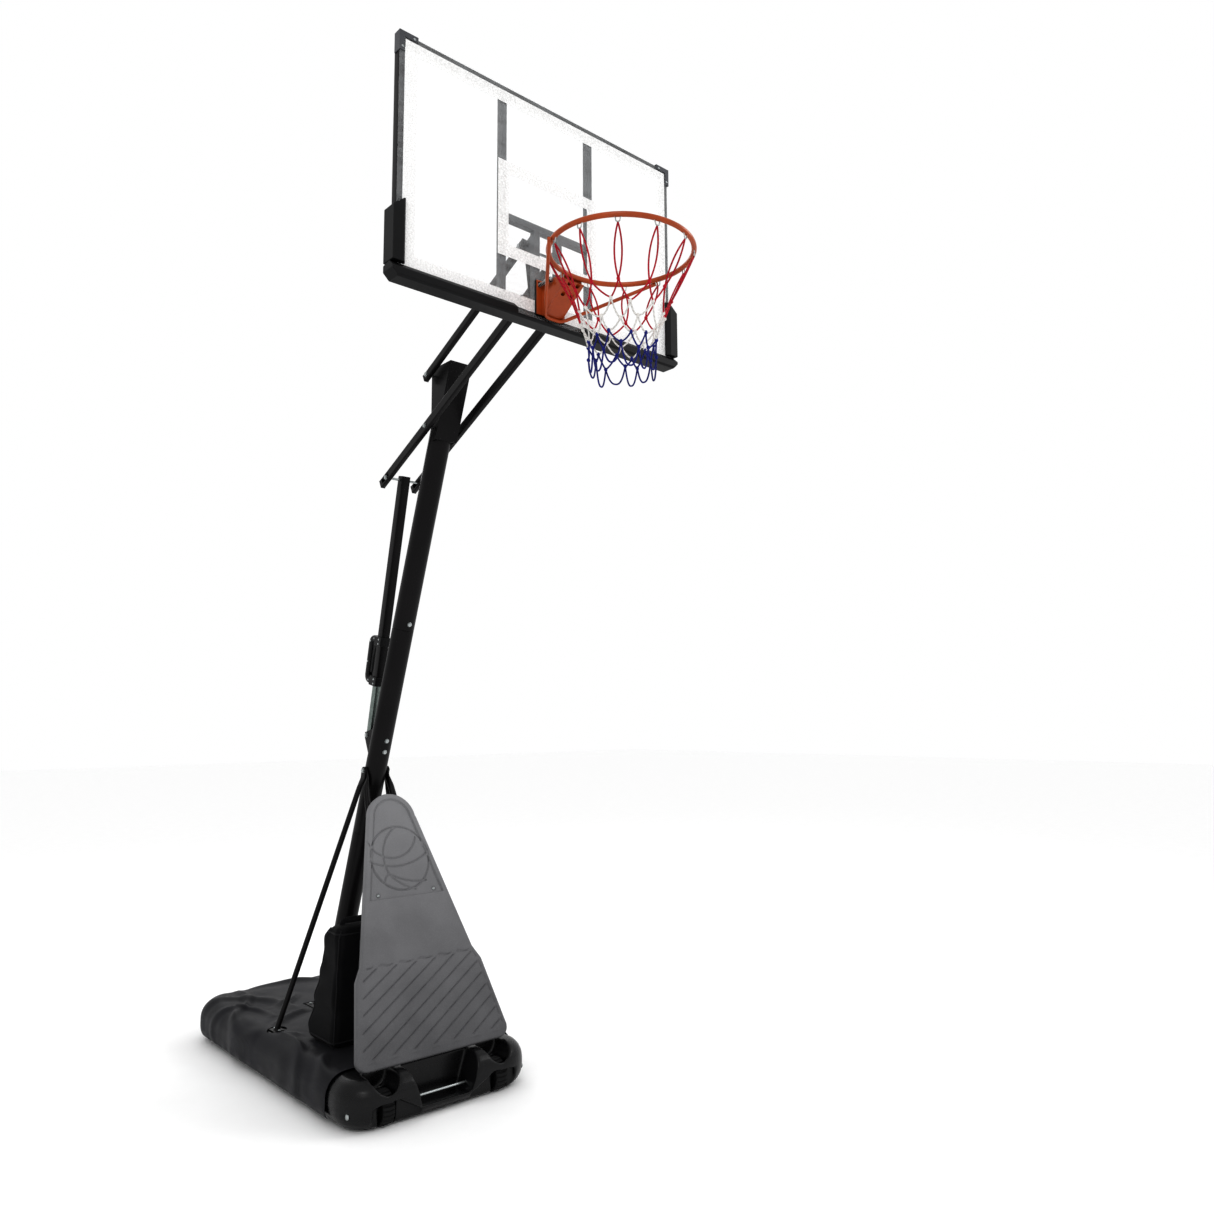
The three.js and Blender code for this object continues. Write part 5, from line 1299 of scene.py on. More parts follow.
@dataclass
class FrontPanel:
    """The leaning moulded shell with its ball relief and slanting grooves.

    Lengths are millimetres, apart from origin. Along the slope they count from the panel's foot.
    """

    lean: float = math.radians(24.2)
    origin: tuple[float, float, float] = (0, -0.7398, 0.1831)
    length: float = 1024.0
    half_width: float = 325.0
    waist: tuple[tuple[float, float], ...] = ((275.0, 309.0), (245.0, 362.0))
    top_radius: float = 108.0
    corner: float = 42.0
    depth: float = 24.0
    wall: float = 4.0
    edge: float = 7.0
    groove_pitch: float = 52.0
    groove_slope: float = 0.61
    field_top: float = 346.0
    ledge: float = 594.0
    ball: tuple[float, float, float] = (0.0, 751.0, 128.0)
    screw: tuple[float, float] = (125.0, 611.0)
    screw_recess: float = 3.0
    groove_cut: float = 4.4
    groove_width: float = 4.8
    seam_width: float = 5.0
    field_sink: float = 4.6
    seams: tuple[tuple[tuple[float, float], ...], ...] = (
        ((2, 128), (-73, 14), (-62, -60)),
        ((-120, 52), (-62, 8), (92, 106)),
        ((-131, -6), (-12, -32), (128, 14)),
        ((-62, -60), (8, -92), (98, -102)),
        ((-62, -60), (-22, -100), (44, -132)),
        ((-62, -60), (-80, -76), (-86, -98)),
    )

    def half(self, t: np.ndarray) -> np.ndarray:
        """Half the panel's width at distances up its slope: corner arcs, stepped sides and a top arc."""
        top = self.length - self.top_radius
        tangent = (self.top_radius * math.cos(0.23), top + self.top_radius * math.sin(0.23))
        knots = [(self.half_width - 1.0, self.corner * 1.16), *self.waist, tangent]
        width = np.interp(t, [k[1] for k in knots], [k[0] for k in knots])
        low = np.clip(t, 0, self.corner)
        arc = (
            self.half_width - self.corner
            + np.sqrt(np.clip(self.corner**2 - (self.corner - low) ** 2, 0, None))
        )
        width = np.where(t < self.corner * 1.16, np.minimum(arc, self.half_width), width)
        cap = np.sqrt(np.clip(self.top_radius**2 - (t - top) ** 2, 0, None))
        return np.where(t > tangent[1], cap, width)

    def edge_distance(self, x: np.ndarray, t: np.ndarray) -> np.ndarray:
        """Distance in from the outline: the least of the sides', the foot's and the top arc's."""
        side = (self.half(t) - np.abs(x)) * 0.97
        top = self.length - self.top_radius
        arc = np.where(t > top, self.top_radius - np.hypot(x, t - top), 1e3)
        return np.clip(np.minimum(np.minimum(side, t), arc), 0, None)

    def arc_distance(self, x: np.ndarray, y: np.ndarray, seam: Sequence[Sequence[float]]) -> np.ndarray:
        """Distance to the arc through three points: |distance to its centre - radius| between its ends.

        Args:
            x: millimetres across from the ball's middle.
            y: millimetres up from it.
            seam: the arc's start, a point on it and its end.

        Returns:
            The distance, and a large number past the arc's ends.
        """
        a, b, c = np.array(seam, float)
        sides = 2 * np.array([b - a, c - b])
        centre = np.linalg.solve(sides, [b @ b - a @ a, c @ c - b @ b])
        radius = np.linalg.norm(a - centre)
        chord = c - a
        along = ((x - a[0]) * chord[0] + (y - a[1]) * chord[1]) / (chord @ chord)
        near_side = ((x - centre[0]) * (b - centre)[0] + (y - centre[1]) * (b - centre)[1]) > 0
        distance = np.abs(np.hypot(x - centre[0], y - centre[1]) - radius)
        return np.where(near_side & (along > -0.02) & (along < 1.02), distance, 1e3)

    def relief(self, x: np.ndarray, t: np.ndarray) -> np.ndarray:
        """Height of the front face: rounded rim, sunk upper field, ball seams and slanting grooves.

        Args:
            x: millimetres across.
            t: millimetres up the slope.

        Returns:
            Height in millimetres, zero on the plain face.
        """

        def step(value: np.ndarray, low: float, high: float) -> np.ndarray:
            """A smooth rise from 0 at low to 1 at high."""
            share = np.clip((value - low) / (high - low), 0, 1)
            return share * share * (3 - 2 * share)

        def line(distance: np.ndarray, width: float) -> np.ndarray:
            """A rounded groove or rib across a distance: 1 on its line and 0 past its half width."""
            return step(-np.abs(distance), -width, -0.25 * width)

        inside = self.edge_distance(x, t)
        rim = np.clip(inside, 0, self.edge)
        height = -(self.edge - np.sqrt(self.edge**2 - (self.edge - rim) ** 2))
        upper = step(t, self.ledge - 1, self.ledge + 3)
        height -= self.field_sink * upper * step(inside, 20, 24)
        height -= 2.4 * line(inside - 26, 4.5) * upper
        cx, cy, radius = self.ball
        away = np.hypot(x - cx, t - cy)
        height += 1.6 * step(-away, -radius - 2, -radius + 3)
        marks = line(away - radius - 2, self.seam_width)
        for seam in self.seams:
            marks = np.maximum(marks, line(self.arc_distance(x - cx, t - cy, seam), self.seam_width))
        height -= self.groove_cut * marks
        pitch = self.groove_pitch
        slant = np.mod(t - self.groove_slope * x - 42 + pitch / 2, pitch) - pitch / 2
        field_area = step(-t, -self.field_top, -self.field_top + 4) * step(t, 34, 40) * step(inside, 22, 27)
        height -= self.groove_cut * line(slant, self.groove_width) * field_area
        broken = step(np.abs(slant - 8), 5, 9)
        height -= (
            4.0 * line(t - self.field_top - 4 - 3 * np.cos(slant / pitch * 2 * np.pi), 4.6) * broken
            * step(inside, 20, 26)
        )
        height -= (
            3.0 * line(inside - 18, 4.0) * step(x, 0, 20) * step(-t, -self.field_top, -self.field_top + 4)
            * step(t, 40, 60) * broken
        )
        height += 2.4 * line(np.mod(x + 44, 88) - 44, 31) * line(t - 28, 4.2) * step(-np.abs(x), -290, -284)
        for side in (-1, 1):
            height -= self.screw_recess * step(-np.hypot(x - side * self.screw[0], t - self.screw[1]), -11, -9)
        return height

    def place(self, x: np.ndarray, t: np.ndarray, out: np.ndarray) -> np.ndarray:
        """Panel coordinates in millimetres as points in space."""
        slope = np.array([0, math.sin(self.lean), math.cos(self.lean)])
        normal = np.array([0, -math.cos(self.lean), math.sin(self.lean)])
        return (
            np.array(self.origin) + MM
            * (x[..., None] * [1.0, 0, 0] + t[..., None] * slope + out[..., None] * normal)
        )

    def build(self) -> None:
        """The shell: a relief on a grid, skirts round its outline, and a flat back inside."""
        columns = 215
        swing = np.linspace(0, np.pi / 2, 40)
        top = self.length - self.top_radius
        rows = np.concatenate(
            [np.linspace(0, top, 290, endpoint=False), top + self.top_radius * np.sin(swing) * 0.99995]
        )
        x = np.linspace(-1, 1, columns)[None, :] * self.half(rows)[:, None]
        t = np.broadcast_to(rows[:, None], x.shape)
        points = self.place(x, t, self.relief(x, t))
        front = grid(points)
        n = len(rows)
        index = np.arange(n * columns).reshape(n, columns)
        loop = np.concatenate([index[0, :-1], index[:-1, -1], index[-1, :0:-1], index[:0:-1, 0]])
        middle_t = np.full(len(loop), 0.45 * self.length)
        flat_x, flat_t = x.reshape(-1)[loop], t.reshape(-1)[loop]
        rings = [
            (-self.edge - 3, 0.0), (-self.depth + 1, 0.0), (-self.depth, 1.0), (-self.depth, self.wall),
            (-self.wall - 9, self.wall)
        ]
        outward = unit(np.stack([flat_x / self.half_width, (flat_t - middle_t) / self.length], -1))
        skirts = []
        for out, inset in rings:
            skirts.append(
                self.place(
                    flat_x - inset * outward[:, 0], flat_t - inset * outward[:, 1], np.full(len(loop), out)
                )
            )
        count, base = len(loop), n * columns
        faces = list(front.faces)
        previous = loop
        for k in range(len(rings)):
            ring = base + k * count + np.arange(count)
            quads = np.stack([previous, np.roll(previous, -1), np.roll(ring, -1), ring], -1)
            faces += quads.tolist()
            previous = ring
        faces.append(previous.tolist())
        shell = Surface(np.concatenate([front.points, *skirts]), faces)
        build("panel_shell", shell, PANEL_GREY, "root", ["front_panel"], 50)
        normal = np.array([0, -math.cos(self.lean), math.sin(self.lean)])
        heads, bosses = [], []
        for side in (-1, 1):
            seat = self.place(np.array(side * self.screw[0]), np.array(self.screw[1]), np.array(-6.2))
            dome = [
                [0, -0.001], [0.0062, -0.001], [0.0062, 0.0004], [0.0048, 0.0022], [0.0022, 0.003],
                [0.0018, 0.0012], [0, 0.0012]
            ]
            heads.append(lathe(dome, seat, normal, 28))
            post = [[0, 0], [0.012, 0], [0.012, -0.018], [0.011, -0.019], [0, -0.019]]
            bosses.append(lathe(post, seat - 0.0022 * normal, normal, 28))
        build("panel_screws", joined(heads), ZINC, "root", (), 30)
        build("panel_bosses", joined(bosses), PANEL_GREY, "root")


# ---- Lift, strut and handle ---------------------------------------------------------------------


@dataclass
class Lift:
    """The parallelogram arms, their bracket and pivots."""

    rise: float = math.radians(25.7)
    arm_x: float = 0.075

    def plug(self, point: np.ndarray, way: float, width: float, height: float) -> Surface:
        """A moulded plug in a tube's end: a thin rounded flange and a shallow body.

        Args:
            point: the middle of the tube's end.
            way: 1 towards the arms' front, -1 towards their rear.
            width: the tube's size along X.
            height: its other size.

        Returns:
            The plug.
        """
        ahead = way * np.array([0, -math.cos(self.rise), math.sin(self.rise)])
        flange = block(point, point + 0.003 * ahead, width, height, 0.0012)
        body = block(point - 0.008 * ahead, point + 0.001 * ahead, width - 0.0046, height - 0.0046, 0.0012)
        return joined([flange, body])

    def build(self) -> None:
        """Builds the arms, plugs, bracket and bolts."""
        polished("top_bracket", POWDER_BLACK, 1.2)
        ahead = np.array([0, -math.cos(self.rise), math.sin(self.rise)])
        lower, upper = np.array([0, -0.710, 2.585]), np.array([0, -0.715, 2.795])
        lengths = {"lower_arms": [], "upper_arms": []}
        for sign, name in ((-1, "left"), (1, "right")):
            polished("lower_arm_" + name, POWDER_BLACK, 0.8)
            polished("upper_arm_" + name, POWDER_BLACK, 0.8)
            beside = np.array([sign * self.arm_x, 0, 0])
            lengths["lower_arms"] += [
                self.plug(lower + beside + 0.712 * ahead, 1, 0.020, 0.036),
                self.plug(lower + beside - 0.393 * ahead, -1, 0.020, 0.036)
            ]
            lengths["upper_arms"] += [
                self.plug(upper + beside + 0.712 * ahead, 1, 0.020, 0.030),
                self.plug(upper + beside - 0.022 * ahead, -1, 0.020, 0.030)
            ]
        for body, plugs in lengths.items():
            build(body + "_end_plugs", joined(plugs), HANDLE_NYLON, body)
        pole = Pole()
        for node in (
            "lower_pivot_bolt", "upper_pivot_bolt", "front_pivot_bolt_lower", "front_pivot_bolt_upper",
            "strut_foot_bolt", "cross_pin"
        ):
            pole.side_bolt(node)


@dataclass
class Handle:
    """The telescoping strut with its ribbed grip, collars and trigger."""

    start: float = 216.0
    end: float = 426.0
    near: float = 31.3
    reach: float = 100.0
    thick: float = 28.0
    width: float = 30.0
    ribs: int = 16

    def grip(self) -> Surface:
        """A rounded bar bent into a C, its outer face rippled by ribs along the straight back.

        The section is a rounded rectangle. Its outer side moves by a cosine of the distance along
        the strut, faded out at the ends of the back.

        Returns:
            The grip's surface.
        """
        half = self.thick / 2
        low, high, back = self.start + half, self.end - half, self.reach - half
        corners = [(low, self.near), (low, back), (high, back), (high, self.near)]
        path = bent([(a, b, 0) for a, b in corners], 38, 14)
        run = np.concatenate([[0], np.cumsum(np.linalg.norm(np.diff(path, axis=0), axis=1))])
        even = np.linspace(0, run[-1], 260)
        path = np.stack([np.interp(even, run, path[:, k]) for k in range(3)], -1)
        section = rounded_rect(self.width, self.thick, 9, 5)
        share = np.clip((path[:, 0] - low - 16) / 10, 0, 1) * np.clip((high - 16 - path[:, 0]) / 10, 0, 1)
        share = share * (path[:, 1] > back - 2)
        ripple = 1.5 * np.cos((path[:, 0] - low) / (high - low) * 2 * np.pi * (self.ribs + 4)) * share
        outer = np.clip(-section[:, 1] / half, 0, 1)
        sections = np.repeat(section[None], len(path), 0)
        sections[..., 1] -= ripple[:, None] * outer[None, :] ** 2
        points = np.stack([STRUT.at(a, b) for a, b, _ in path])
        return sweep(points, sections * MM, (1, 0, 0))

    def screws(self) -> Surface:
        """Cross-head screws: a vertical pair on each collar's side, and four through the grip."""
        places = [
            (self.start + 10, -8, 27.3), (self.start + 28, -8, 27.3), (self.end - 10, -8, 27.3),
            (self.end - 28, -8, 27.3)
        ]
        grip = [(self.end - 13, 56), (self.end - 28, 84), (self.start + 92, 87), (self.start + 14, 62)]
        places += [(along, behind, self.width / 2) for along, behind in grip]
        dome = np.array([[0, -1], [4.2, -1], [4.2, 0.5], [3.2, 1.7], [1.2, 2.2], [0.9, 1.0], [0, 1.0]]) * MM
        heads = [
            lathe(dome, STRUT.at(along, behind, sign * x), (sign, 0, 0), 20) for along, behind, x in places
            for sign in (-1, 1)
        ]
        return joined(heads)

    def build(self) -> None:
        """Builds the strut's two tubes and the handle on them."""
        polished("strut_inner", GALVANISED, 0.8)
        polished("strut_outer", POWDER_BLACK, 0.8)
        polished("handle_collar_lower", HANDLE_NYLON, 2.6, 3)
        polished("handle_collar_upper", HANDLE_NYLON, 2.6, 3)
        grip = raw_object("ribbed_grip", self.grip())
        half, far = 8.0, self.reach
        low, high = STRUT.at(self.start + 34, far - 20), STRUT.at(self.end - 22, far - 20)
        channel = block(low, high, 2 * half * MM, 0.030, 0.002)
        top = block(
            STRUT.at(self.end - 9, far - 34), STRUT.at(self.end - 40, far - 34), 2 * half * MM, 0.036, 0.002
        )
        cut_away(grip, joined([channel]))
        cut_away(grip, joined([top]))
        smooth(grip.data, 45)
        dress(grip, HANDLE_NYLON, "outer_strut", ["handle_grip"])
        polished("handle_trigger", HANDLE_NYLON, 2.4, 3)
        build("handle_screws", self.screws(), ZINC, "outer_strut", (), 30)


# ---- Backboard ----------------------------------------------------------------------------------


@dataclass
class Board:
    """The clear sheet with its printed lines, steel frame, pads and corner caps."""

    front: float = -1.400
    line: float = 0.045
    square: tuple[float, float, float] = (0.446, 0.348, 2.999)

    def print_frame(self, x0: float, x1: float, z0: float, z1: float, line: float) -> Surface:
        """A printed rectangle's outline: a closed ring of ink, a fifth of a millimetre thick.

        Args:
            x0: its left side, outside.
            x1: its right side, outside.
            z0: its bottom, outside.
            z1: its top, outside.
            line: the line's width.

        Returns:
            The ring.
        """
        outer = np.array([[x0, z0], [x1, z0], [x1, z1], [x0, z1]])
        inner = np.array(
            [[x0 + line, z0 + line], [x1 - line, z0 + line], [x1 - line, z1 - line], [x0 + line, z1 - line]]
        )
        near, far = self.front - 0.00025, self.front - 0.00005
        rings = [(outer, near), (outer, far), (inner, far), (inner, near)]
        points = np.stack([np.stack([ring[:, 0], np.full(4, y), ring[:, 1]], -1) for ring, y in rings])
        return grid(points, around=True, along=True)

    def build(self) -> None:
        """Builds the board."""
        low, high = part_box("backboard_sheet")
        polished("backboard_sheet", ACRYLIC, 0.8)
        margin = 0.020
        border = self.print_frame(low.x + margin, high.x - margin, low.z + margin, high.z - margin, self.line)
        width, height, bottom = self.square
        target = self.print_frame(-width / 2, width / 2, bottom, bottom + height, self.line)
        build("printed_lines", joined([border, target]), PRINT_WHITE, "board")
        for node in ("frame_top", "frame_bottom", "frame_left", "frame_right"):
            polished(node, POWDER_BLACK, 0.8)
        for node in ("bar_left", "bar_right", "board_carrier"):
            polished(node, BAR_GREY, 1.0)
        for node in ("corner_cap_left", "corner_cap_right"):
            polished(node, CAP_GREY, 1.2, 3)
        for node in ("pad_left", "pad_right"):
            polished(node, PAD_BLACK, 2.4, 3)
        polished("pad_bottom", PAD_BLACK, 2.4, 3)
        screws = []
        cap_low, cap_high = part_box("corner_cap_right")
        for sign in (-1, 1):
            for x, z in ((cap_high.x - 0.012, cap_low.z + 0.014), (cap_low.x + 0.014, cap_high.z - 0.012)):
                dome = (
                    np.array(
                        [[0, -0.5], [4.4, -0.5], [4.4, 0.6], [3.2, 1.8], [1.2, 2.2], [0.9, 1.1], [0, 1.1]]
                    )
                    * MM
                )
                screws.append(lathe(dome, (sign * x, cap_low.y, z), (0, -1, 0), 20))
        build("corner_cap_screws", joined(screws), ZINC, "board", (), 30)
        bars = []
        for x in (-0.196, 0.196):
            for z in (2.90, 3.22, 3.55):
                bars.append(
                    hex_bolt(
                        (x, self.front + 0.0303, z), (x, self.front + 0.02, z), 2.5 * MM, 5 * MM, 4 * MM,
                        nut=False
                    )
                )
        build("bar_screws", joined(bars), ZINC, "board", (), 30)


# ---- Rim and net --------------------------------------------------------------------------------


@dataclass
class Rim:
    """The breakaway rim: ring, net hooks, brace rod, folded bracket, plate and coil springs."""

    radius: float = 0.2371
    rod: float = 0.0085
    centre: tuple[float, float, float] = (0, -1.7786, 2.931)
    hooks: int = 12
    spring_x: float = 0.051
    spring_z: float = 2.932
    spring_start: float = -1.4117
    spring_end: float = -1.4695
    turns: float = 8.5

    def ring(self) -> Surface:
        """A torus: a circle carried round the ring's centreline."""
        angle = np.linspace(0, 2 * np.pi, 192, endpoint=False)
        out = np.stack([np.cos(angle), np.sin(angle), np.zeros_like(angle)], -1)
        path = np.array(self.centre) + self.radius * out
        return sweep(path, circle(self.rod, 24), (0, 0, 1), closed=True)

    def hook(self, angle: float) -> Surface:
        """A wire loop under the ring: two legs welded to the rod, with a curl that the cord hangs in.

        Args:
            angle: its place round the ring, in radians.

        Returns:
            The bent wire.
        """
        out = np.array([math.cos(angle), math.sin(angle), 0])
        aside = np.array([-math.sin(angle), math.cos(angle), 0])
        foot = np.array(self.centre) + self.radius * out - [0, 0, self.rod * 0.8]
        corners = [(-14, 0, 1.5), (-8, 0, -2), (-6, 1, -17), (6, 1, -17), (8, 0, -2), (14, 0, 1.5)]
        path = bent(
            [foot + MM * (a * aside + b * out + c * np.array([0, 0, 1])) for a, b, c in corners], 0.006, 5
        )
        return tube(path, 0.0019, 8, out)

    def spring(self, sign: float) -> Surface:
        """A helix of round wire: centre + radius * (cos, sin) while it runs forwards from the flange."""
        t = np.linspace(0, 1, 200)
        angle = 2 * np.pi * self.turns * t
        ease = (
            0.0012 + (self.spring_start - self.spring_end - 0.0024)
            * np.clip((t * self.turns - 0.8) / (self.turns - 1.6), 0, 1)
        )
        out = np.stack([np.cos(angle), np.zeros_like(t), np.sin(angle)], -1)
        path = np.array([sign * self.spring_x, self.spring_start, self.spring_z]) + 0.0064 * out
        path[:, 1] -= ease
        return tube(path, 0.0011, 8, out)

    def build(self) -> None:
        """Builds the rim."""
        build("ring_rod", self.ring(), RIM_ORANGE, "rim", ["rim_ring"])
        angles = (np.arange(self.hooks) + 0.5) * 2 * np.pi / self.hooks
        build("net_hooks", joined([self.hook(angle) for angle in angles]), ZINC, "rim")
        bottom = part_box("rim_brace")[0].z + 0.006
        end_angle = math.radians(17)
        reach = self.radius + self.rod + 0.006
        side_x, side_y = reach * math.cos(end_angle), self.centre[1] + reach * math.sin(end_angle)
        corners = [
            (-side_x, side_y, 2.925), (-0.036, -1.424, bottom), (0.036, -1.424, bottom),
            (side_x, side_y, 2.925)
        ]
        build(
            "brace_rod", tube(bent(corners, 0.022, 10), 0.006, 18, (0, -0.3, 1)), RIM_ORANGE, "rim",
            ["rim_brace"]
        )
        ovals = []
        for x, z in ((-0.018, 2.880), (0.018, 2.880), (-0.018, 2.905), (0.018, 2.905)):
            slot = rounded_rect(0.016, 0.011, 0.005, 5)
            path = np.array([[x, -1.60, z], [x, -1.43, z]])
            ovals.append(sweep(path, slot, (1, 0, 0)))
        polished("rim_bracket", RIM_ORANGE, 1.2, 2, 32, joined(ovals))
        polished("rim_plate", POWDER_BLACK, 1.0, 2, 40)
        for sign, name in ((-1, "left"), (1, "right")):
            coil = build("coil_spring_" + name, self.spring(sign), ZINC, "rim", ["rim_spring_" + name])
            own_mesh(coil)
        heads = []
        for sign in (-1, 1):
            seat = (sign * self.spring_x, self.spring_end - 0.0004, self.spring_z)
            heads.append(lathe([[0, 0], [0.0098, 0], [0.0098, 0.0014], [0, 0.0014]], seat, (0, -1, 0), 32))
            heads.append(
                lathe(
                    [[0, 0.001], [0.0086, 0.001], [0.0086, 0.0056], [0.0074, 0.0066], [0, 0.0066]], seat,
                    (0, -1, 0), 6
                )
            )
        build("spring_bolt_heads", joined(heads), ZINC, "board", (), 30)


@dataclass
class Net:
    """Knotted cord in three colours, hung from the ring's hooks.

    Each row of knots has its drop below the ring, its radius and its turn as a share of a column.
    """

    centre: tuple[float, float, float] = (0, -1.7786, 2.931)
    columns: int = 12
    cord: float = 0.0027
    rows: tuple[tuple[float, float, float], ...] = (
        (-0.024, 0.2360, 0.5),
        (-0.168, 0.1660, 0.5),
        (-0.222, 0.1420, 0.0),
        (-0.270, 0.1230, 0.5),
        (-0.312, 0.1120, 0.0),
        (-0.354, 0.1060, 0.5),
    )

    def knots(self) -> list[np.ndarray]:
        """The knots of each row, a little uneven, as columns by 3.

        Returns:
            One array for each row.
        """
        found = []
        for number, (drop, radius, shift) in enumerate(self.rows):
            column = np.arange(self.columns)
            uneven = 0.0 if number == 0 else 1.0
            wobble = np.sin(column * 2.4 + number * 1.7) * uneven
            angle = (column + shift + 0.11 * wobble) * 2 * np.pi / self.columns
            size = radius + 0.005 * uneven * np.sin(column * 4.1 + number)
            z = self.centre[2] + drop + 0.008 * uneven * np.sin(column * 3.3 + 2.1 * number)
            found.append(np.stack([size * np.cos(angle), self.centre[1] + size * np.sin(angle), z], -1))
        return found

    def strand(self, start: np.ndarray, end: np.ndarray, bow: float, belly: float) -> Surface:
        """A cord between two knots: a straight run plus a parabola sideways and one inwards.

        Args:
            start: its upper end.
            end: its lower end.
            bow: how far its middle stands to the side.
            belly: how far its middle drops.

        Returns:
            The cord.
        """
        t = np.linspace(0, 1, 15)[:, None]
        middle = (start + end) / 2 - [0, self.centre[1], 0]
        outward = unit(middle * [1, 1, 0])
        aside = np.array([-outward[1], outward[0], 0])
        arch = 4 * t * (1 - t)
        path = (
            start + t * (end - start) + arch
            * (bow * aside + np.array([0, 0, -belly]) - 0.3 * belly * outward)
        )
        return sweep(path, circle(self.cord, 8), outward + [0, 0, 0.2])

    def knot(self, point: np.ndarray) -> Surface:
        """A knot: a ball of cord, pinched into three lobes by a cosine of the angle."""
        polar = np.linspace(0, np.pi, 9)
        angle = np.linspace(0, 2 * np.pi, 14, endpoint=False)
        size = 0.0056 * (1 + 0.16 * np.cos(3 * angle[None, :] + 4 * polar[:, None]))
        x = size * np.sin(polar)[:, None] * np.cos(angle)
        y = size * np.sin(polar)[:, None] * np.sin(angle)
        z = 1.25 * 0.0056 * np.cos(polar)[:, None] * np.ones_like(angle)
        return grid(point + np.stack([x, y, z], -1), around=True)

    def loop(self, start: np.ndarray, end: np.ndarray, bottom: float) -> Surface:
        """A hanging loop between two knots: a U whose depth follows a flattened parabola."""
        t = np.linspace(0, 1, 21)[:, None]
        dip = 1 - np.abs(2 * t - 1) ** 2.6
        path = start + t * (end - start)
        path[:, 2:] -= dip * (path[:, 2:] - bottom)
        outward = unit((path.mean(0) - [0, self.centre[1], 0]) * [1, 1, 0])
        return sweep(path, circle(self.cord, 8), outward)

    def build(self) -> None:
        """Builds the net's red, white and blue lengths."""
        rows = self.knots()
        count = self.columns
        lengths: dict[Finish, list[Surface]] = {CORD_RED: [], CORD_WHITE: [], CORD_BLUE: []}
        for i in range(count):
            sway = 0.0016 * math.sin(5 * i)
            top = rows[0][i]
            lengths[CORD_RED] += [
                self.strand(top, rows[1][i], side * (0.0125 + sway), 0.0) for side in (-1, 1)
            ]
            lengths[CORD_RED].append(self.knot(rows[1][i]))
            lengths[CORD_RED] += [
                self.strand(rows[1][i], rows[2][(i + k) % count], 0.0, 0.006) for k in (0, 1)
            ]
            lengths[CORD_WHITE].append(self.knot(rows[2][i]))
            lengths[CORD_WHITE] += [
                self.strand(rows[2][(i + k) % count], rows[3][i], 0.0, 0.011) for k in (0, 1)
            ]
            lengths[CORD_WHITE].append(self.knot(rows[3][i]))
            lengths[CORD_WHITE] += [
                self.strand(rows[3][i], rows[4][(i + k) % count], 0.0, 0.008) for k in (0, 1)
            ]
            lengths[CORD_BLUE].append(self.knot(rows[4][i]))
            lengths[CORD_BLUE] += [
                self.strand(rows[4][(i + k) % count], rows[5][i], 0.0, 0.006) for k in (0, 1)
            ]
            lengths[CORD_BLUE].append(self.knot(rows[5][i]))
            bottom = self.centre[2] - 0.418 + 0.010 * math.sin(2.3 * i)
            lengths[CORD_BLUE].append(self.loop(rows[5][i], rows[5][(i + 1) % count], bottom))
        for number, (finish, parts) in enumerate(lengths.items()):
            replaced = ["net"] if number == 0 else []
            build("net_" + finish.name.rsplit("_", 1)[1], joined(parts), finish, "rim", replaced, 70)


# ---- Studio -------------------------------------------------------------------------------------


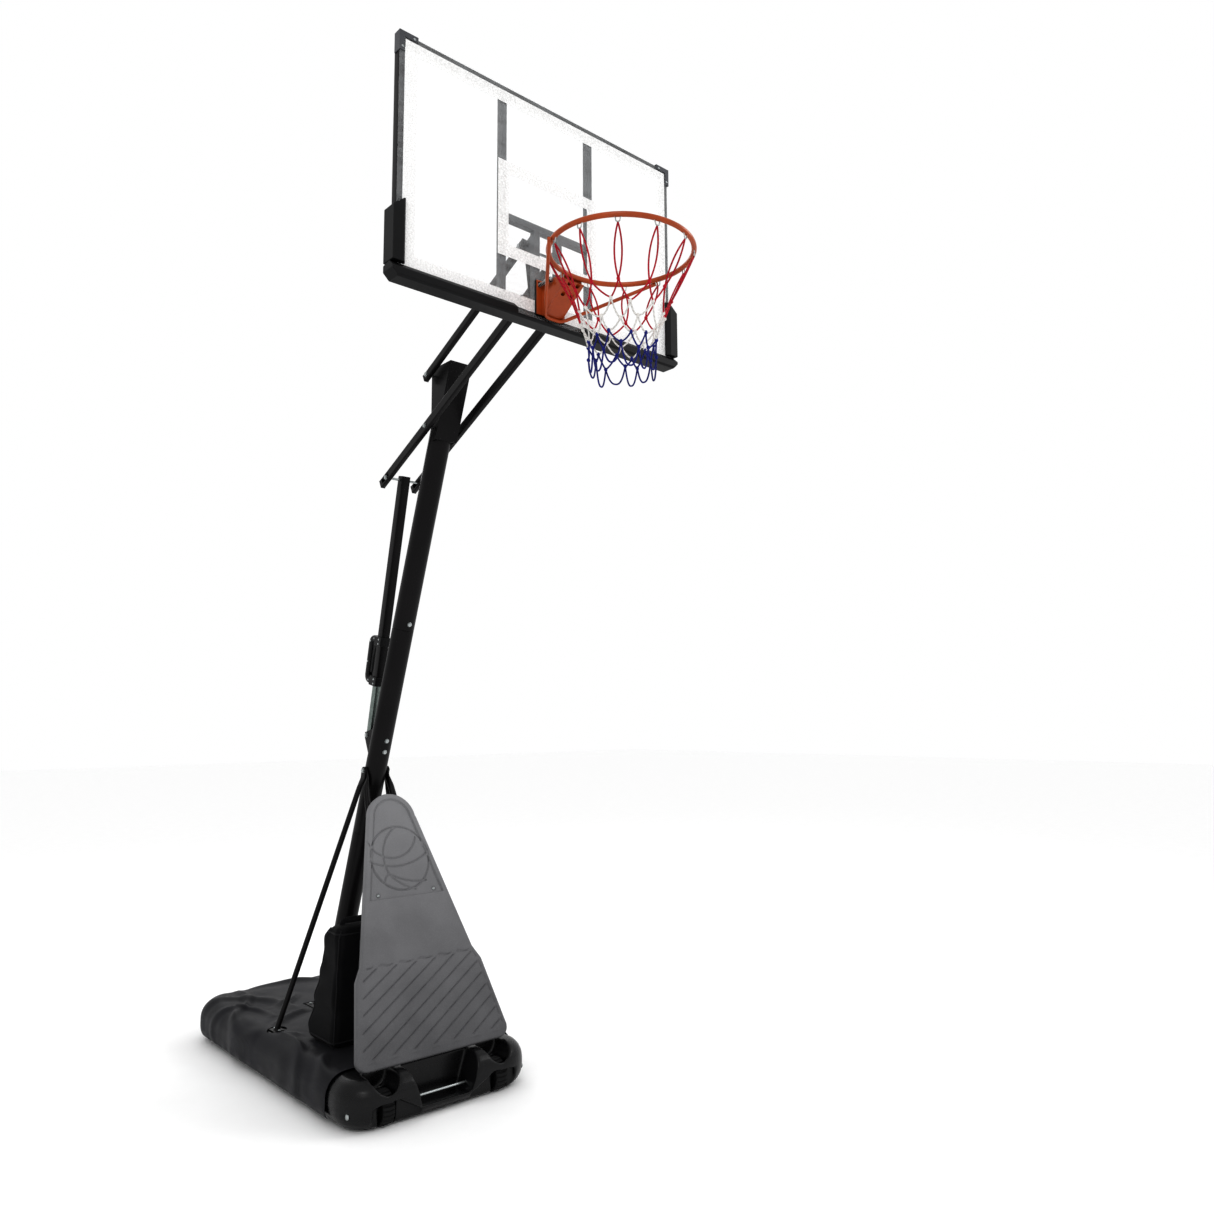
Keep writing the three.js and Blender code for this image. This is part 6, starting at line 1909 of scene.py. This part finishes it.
@dataclass
class Studio:
    """Floor, light and camera."""

    position: tuple[float, float, float] = (-2.0223, -3.9616, 1.4162)
    yaw: float = 0.7291
    pitch: float = 0.1169
    roll: float = -0.0066
    lens: float = 28.476
    floor: float = 30.0
    sky: float = 1.0
    lamps: tuple[tuple[tuple[float, float, float], float, float], ...] = field(
        default=(((-4.0, -5.0, 5.5), 2.5, 70.0), ((4.5, -3.5, 4.5), 2.5, 60.0), ((1.0, 5.0, 5.0), 3.0, 40.0))
    )

    def camera(self) -> None:
        """The camera: forward from yaw and pitch, its right and up turned by the roll."""
        cos, sin = math.cos, math.sin
        forward = Vector((sin(self.yaw) * cos(self.pitch), cos(self.yaw) * cos(self.pitch), sin(self.pitch)))
        level = Vector((cos(self.yaw), -sin(self.yaw), 0))
        over = level.cross(forward)
        right = cos(self.roll) * level + sin(self.roll) * over
        up = -sin(self.roll) * level + cos(self.roll) * over
        data = bpy.data.cameras.new("camera")
        data.lens, data.sensor_width = self.lens, 36
        seen = bpy.data.objects.new("camera", data)
        turn = Matrix((right, up, -forward)).transposed().to_4x4()
        seen.matrix_world = Matrix.Translation(self.position) @ turn
        bpy.context.scene.collection.objects.link(seen)
        bpy.context.scene.camera = seen

    def light(self) -> None:
        """A pale surround and three large soft lamps that look at one point near the hoop's middle."""
        world = bpy.data.worlds.new("surround")
        world.use_nodes = True
        world.node_tree.nodes["Background"].inputs[0].default_value = (1, 1, 1, 1)
        world.node_tree.nodes["Background"].inputs[1].default_value = self.sky
        bpy.context.scene.world = world
        for number, (place, size, power) in enumerate(self.lamps):
            data = bpy.data.lights.new(f"lamp_{number}", "AREA")
            data.shape, data.size, data.energy = "DISK", size, power
            lamp = bpy.data.objects.new(f"lamp_{number}", data)
            aim = Vector((0, -0.7, 1.6)) - Vector(place)
            lamp.matrix_world = Matrix.Translation(place) @ aim.to_track_quat("-Z", "Y").to_matrix().to_4x4()
            bpy.context.scene.collection.objects.link(lamp)

    def build(self) -> None:
        """Builds the studio."""
        self.camera()
        self.light()
        span = np.linspace(-self.floor, self.floor, 9)
        x, y = np.meshgrid(span, span, indexing="ij")
        made = raw_object(
            "studio_floor", grid(np.stack([x, y, np.full_like(x, -0.0005)], -1)), open_shell=True
        )
        made.data.materials.append(FLOOR_CARD.material())
        bpy.context.scene.view_settings.view_transform = "Standard"
        bpy.context.scene.view_settings.gamma = 0.74


def main() -> None:
    """Builds every sub-assembly."""
    logging.basicConfig(level=logging.INFO)
    for part in (Studio(), Base(), Wheels(), Pole(), FrontPanel(), Lift(), Handle(), Board(), Rim(), Net()):
        part.build()
        LOG.info("built %s", type(part).__name__)


if __name__ == "__main__":
    main()
